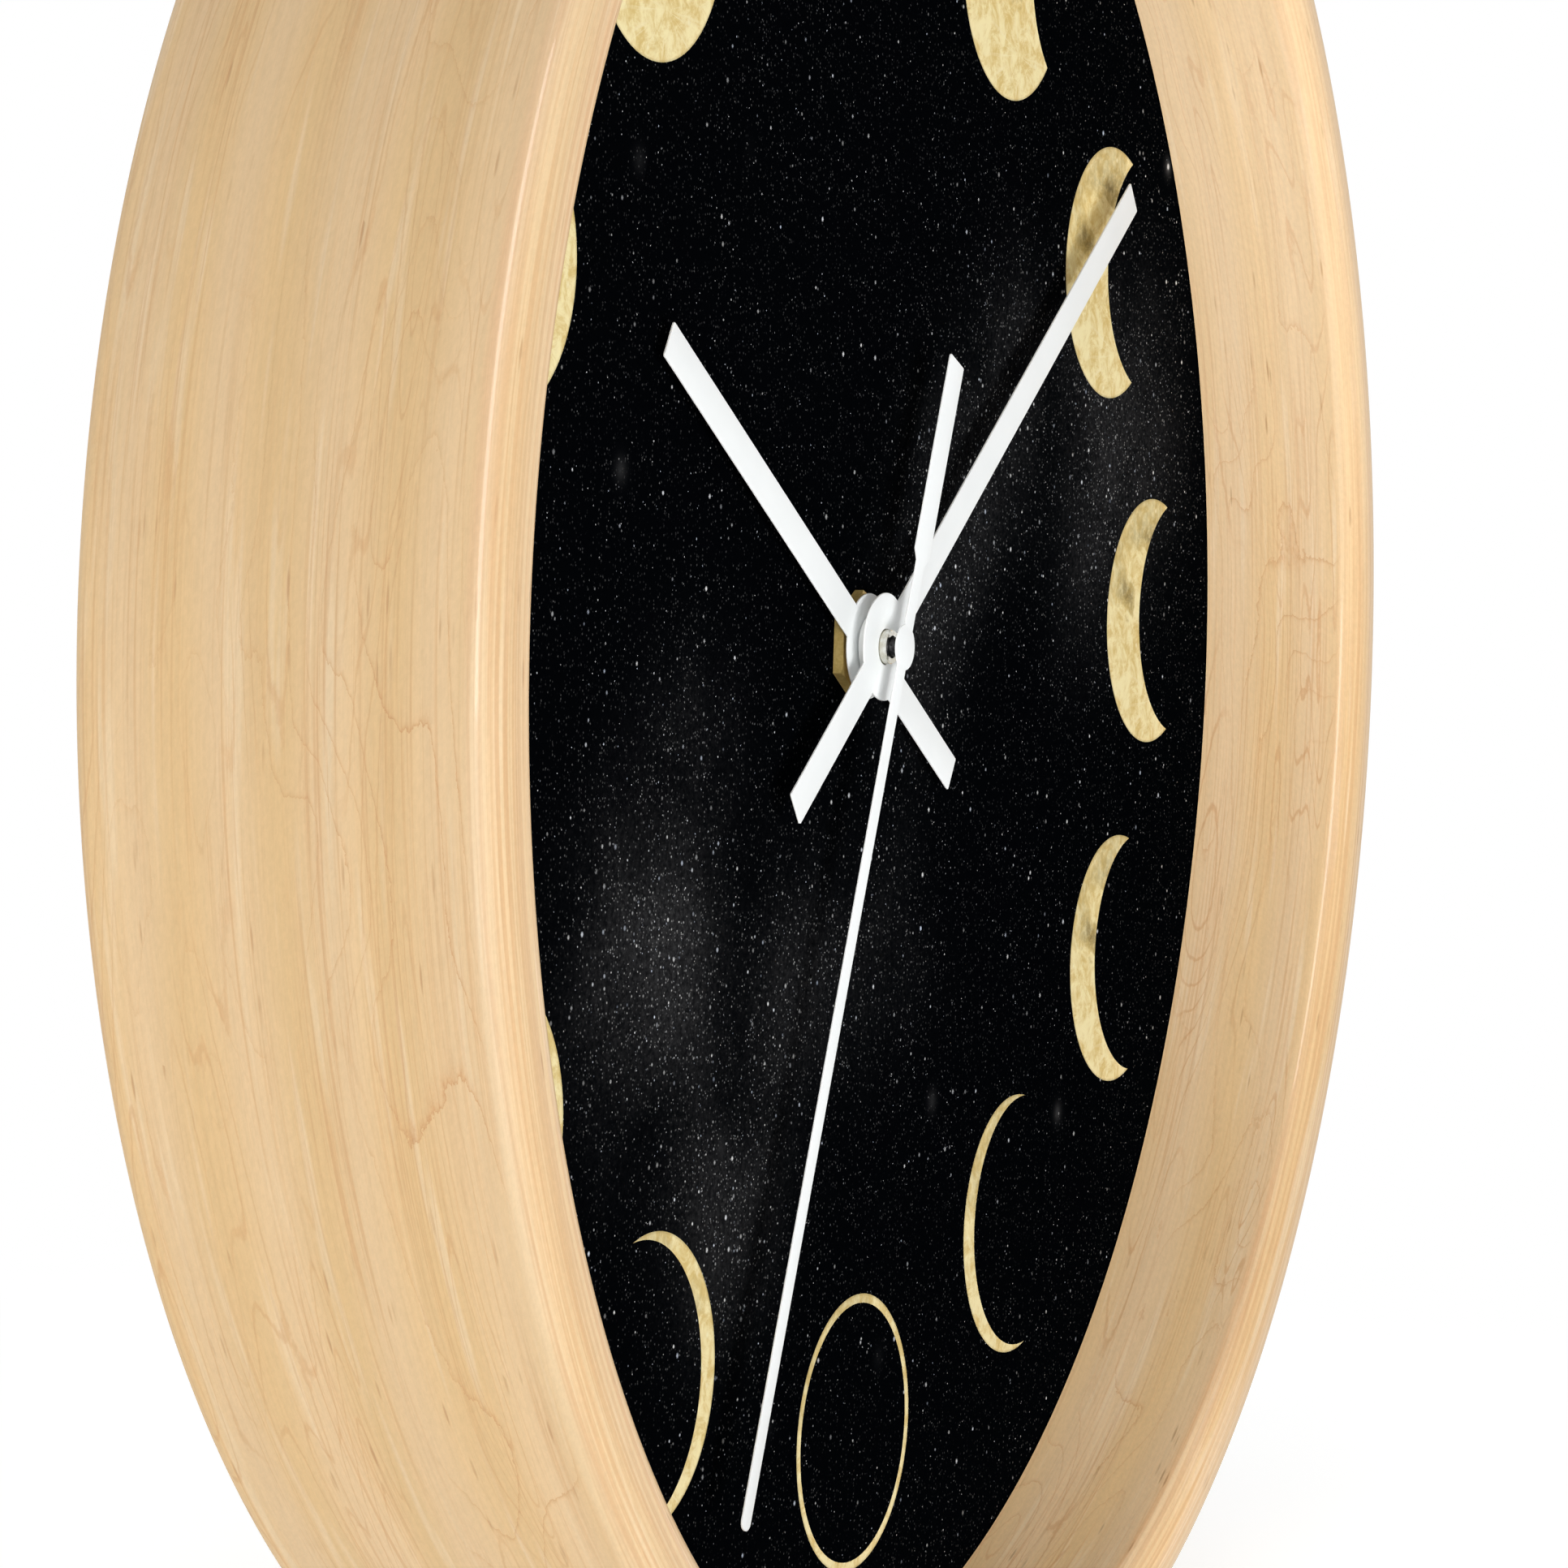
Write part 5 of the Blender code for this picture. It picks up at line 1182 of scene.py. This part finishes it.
g, rib_inputs, given, ribs_result = rule_tree("ribs_round_a_knob", (
    ("Ribs", "Int", 30),
    ("Inner radius", "Float", 0.0044),
    ("Outer radius", "Float", 0.0063),
    ("Rib radius", "Float", RIB_ROUND),
    ("Plastic", "Material", None),
))
inner, outer = given["Inner radius"], given["Outer radius"]
circle = {"Vertices": given["Ribs"], "Radius": (inner + outer) * 0.5}
stand = wire(g, "GeometryNodeMeshCircle", circle)
rib = {"Vertices": 12, "Radius": given["Rib radius"], "Depth": outer - inner}
bar = wire(g, "GeometryNodeMeshCylinder", rib)
away = {"Vector": wire(g, "GeometryNodeInputPosition")}
outward = wire(g, "FunctionNodeAlignRotationToVector", away, axis="Z")
rays = {"Points": stand, "Instance": bar, "Rotation": outward}
laid = wire(g, "GeometryNodeInstanceOnPoints", rays)
real_ribs = wire(g, "GeometryNodeRealizeInstances", {"Geometry": laid})
on_knob = wire(g, "GeometryNodeTransform", {
    "Geometry": real_ribs, "Rotation": UPRIGHT,
    "Translation": (AXIS_X - KNOB_AWAY, CASE_BACK, AXIS_Z + KNOB_AWAY),
})
in_plastic = {"Geometry": on_knob, "Material": given["Plastic"]}
plug(ribs_result, {0: wire(g, "GeometryNodeSetMaterial", in_plastic)})
knob_ribs = grown("knob_ribs_moulded", g, rib_inputs, {"Plastic": wheel_white})
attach(knob_ribs, "knob")

# %% Knob bead
BEAD_REACH = 0.0034
BEAD_STEPS = 48

bead = rounded(BEAD_REACH, CASE_BACK, RIB_ROUND, 0, 330, 11)
knob_middle = (AXIS_X - KNOB_AWAY, AXIS_Z + KNOB_AWAY)
knob_bead = turned("knob_bead_moulded", bead, BEAD_STEPS, wheel_white, knob_middle)
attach(knob_bead, "knob")

# %% Marks on the case
MARK_LOW, MARK_HIGH = CASE_BACK - 0.0002, CASE_BACK + 0.00032
MARK_ROUND = 0.00006
ARROW_REACH = 0.0096
ARROW_HALF = 0.00035
ARROW_HEAD = 0.0010
SIGN_HALF, SIGN_LONG = 0.0004, 0.0017


def bent_arrow(start, end):
    """An arrow that follows a circle round the knob."""
    outer = arc(ARROW_REACH + ARROW_HALF, start, end, 16)
    inner = arc(ARROW_REACH - ARROW_HALF, end, start, 16)
    wing_out, wing_in = (
        arc(ARROW_REACH + side * ARROW_HEAD, end, end, 1)[0] for side in (1, -1)
    )
    point = math.radians(end) + 1.6 * ARROW_HEAD / ARROW_REACH
    tip = (ARROW_REACH * math.cos(point), ARROW_REACH * math.sin(point))
    return [(x - KNOB_AWAY, z + KNOB_AWAY) for x, z in (*outer, wing_out, tip, wing_in, *inner)]


def raised_sign(x, z, cross):
    """A minus sign, or with cross a plus sign, round a place on the back."""
    long, half = SIGN_LONG, SIGN_HALF
    low_side = [(-long, -half), (long, -half)]
    if cross:
        low_side[1:1] = [(-half, -half), (-half, -long), (half, -long), (half, -half)]
    corners = low_side + [(-a, -b) for a, b in low_side]
    return [(x + a, z + b) for a, b in corners]


marks_mesh = bmesh.new()
for outline in (
    bent_arrow(20, 118), bent_arrow(200, 298),
    raised_sign(0.0205, -0.0085, True), raised_sign(-0.0205, -0.0085, False),
):
    stamped(marks_mesh, outline, MARK_LOW, MARK_HIGH, MARK_ROUND)
marks = place_piece("case_marks_moulded", marks_mesh, case_black, 30)
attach(marks, "clock")

# %% [markdown]
# ## The cell
# An AA cell is a drawn steel can in a printed sleeve. The sleeve is shrunk on, so it curls
# over the two ends and leaves the metal bare in the middle. It carries no words here.

# %% Sleeve
SLEEVE_BLUE = paint(52, 92, 132)
SLEEVE_SILVER = paint(214, 216, 218)

cell_finish, tree, shader = finish("cell_sleeve_and_can")
length = parts_of(own_place(tree))[0]
scuff = own_grain(tree, 0.9, 4.0, 0.6, stretch=(6, 1, 1))
sleeve_tone = blend(ease(length, 0.0121, 0.0123), SLEEVE_BLUE, SLEEVE_SILVER)
scuff_share = ease(scuff, 0.55, 0.75, 0.0, 0.3)
plug(shader, {
    "Base Color": blend(scuff_share, sleeve_tone, paint(120, 136, 150)),
    "Roughness": ease(scuff, 0.3, 0.7, 0.28, 0.42),
})
print("sleeve nodes:", len(tree.nodes))

# %% AA cell
CELL_BASE, CELL_TIP = -0.0247, 0.0258
CELL_Y, CELL_Z = -0.0086, AXIS_Z - 0.0194
CELL_RADIUS = 0.0071
CELL_STEPS = 64
BARE_RADIUS = 0.0057

shoulder = CELL_TIP - 0.0014
cell_profile = [
    (CELL_BASE, 0), (CELL_BASE, 0.0058), (CELL_BASE + 0.0001, 0.0064),
    (CELL_BASE + 0.0004, 0.0069), (CELL_BASE + 0.0008, CELL_RADIUS),
    (shoulder - 0.0008, CELL_RADIUS), (shoulder - 0.0003, 0.0069), (shoulder, 0.0064),
    (shoulder, 0.0058), (shoulder - 0.0001, 0.0056), (shoulder - 0.0001, 0.0029),
    (shoulder, 0.00275), (CELL_TIP - 0.0003, 0.00275), (CELL_TIP - 0.0001, 0.0026),
    (CELL_TIP, 0.0023), (CELL_TIP, 0),
]
cell_mesh = bmesh.new()
ring_turns = [2 * math.pi * i / CELL_STEPS for i in range(CELL_STEPS)]
rings = [
    [
        cell_mesh.verts.new((x, CELL_Y + r * math.cos(t), CELL_Z + r * math.sin(t)))
        for t in (ring_turns if r else ring_turns[:1])
    ]
    for x, r in cell_profile
]
for one, two in zip(rings, rings[1:]):
    for i in range(CELL_STEPS):
        j = (i + 1) % CELL_STEPS
        corners = (one[i % len(one)], one[j % len(one)], two[j % len(two)], two[i % len(two)])
        cell_mesh.faces.new(list(dict.fromkeys(corners)))  # three corners at a cap's middle
cell = place_piece("battery_cell_sleeved", cell_mesh, cell_finish)
cell.data.materials.append(nickel)
for polygon in cell.data.polygons:
    from_axis = math.hypot(polygon.center.y - CELL_Y, polygon.center.z - CELL_Z)
    polygon.material_index = int(from_axis < BARE_RADIUS)
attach(cell, "battery")
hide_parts("battery_cell")

# %% [markdown]
# ## Floor
# The clock stands on a white table. Close to the hoop the table is an ordinary matt white,
# so that it keeps the soft shadow, and further out it melts into the white of the tent.
# The table doesn't hold back the light that the tent sends from below.

# %% White table
TABLE_Z = -0.1765
TABLE_HALF = 8.0
TABLE_LIFT = 0.52  # light of its own, which only the camera and mirrors see

table_finish, tree, shader = finish("table_white")
cloth = own_grain(tree, 0.02, 2.0)
plug(shader, {
    "Base Color": blend(cloth, (0.88, 0.88, 0.88, 1), (0.92, 0.92, 0.92, 1)),
    "Roughness": 0.9, "Specular IOR Level": 0.0,
})
far = ease(reach_of(own_place(tree)), 0.16, 0.48)
seen = looked_at(tree)
white = wire(tree, "ShaderNodeEmission", {"Color": PURE_WHITE, "Strength": 1.0})
lift = wire(tree, "ShaderNodeEmission", {"Color": PURE_WHITE, "Strength": seen * TABLE_LIFT})
lifted = wire(tree, "ShaderNodeAddShader", {0: Value(shader.outputs[0]), 1: lift})
melt = wire(tree, "ShaderNodeMixShader", {0: far * seen, 1: lifted, 2: white})
plug(tree.nodes["Material Output"], {"Surface": melt})
print("table finish nodes:", len(tree.nodes))

# %% Lay the table
table_mesh = bpy.data.meshes.new("white_table")
table_corners = [
    (-TABLE_HALF, -TABLE_HALF, 0), (TABLE_HALF, -TABLE_HALF, 0), (TABLE_HALF, TABLE_HALF, 0),
    (-TABLE_HALF, TABLE_HALF, 0),
]
table_mesh.from_pydata(table_corners, [], [(0, 1, 2, 3)])
table_mesh.materials.append(table_finish)
table = put_in_scene("white_table", table_mesh)
table.location.z = TABLE_Z
table.visible_diffuse = False
table.visible_shadow = False
print("table at", TABLE_Z)
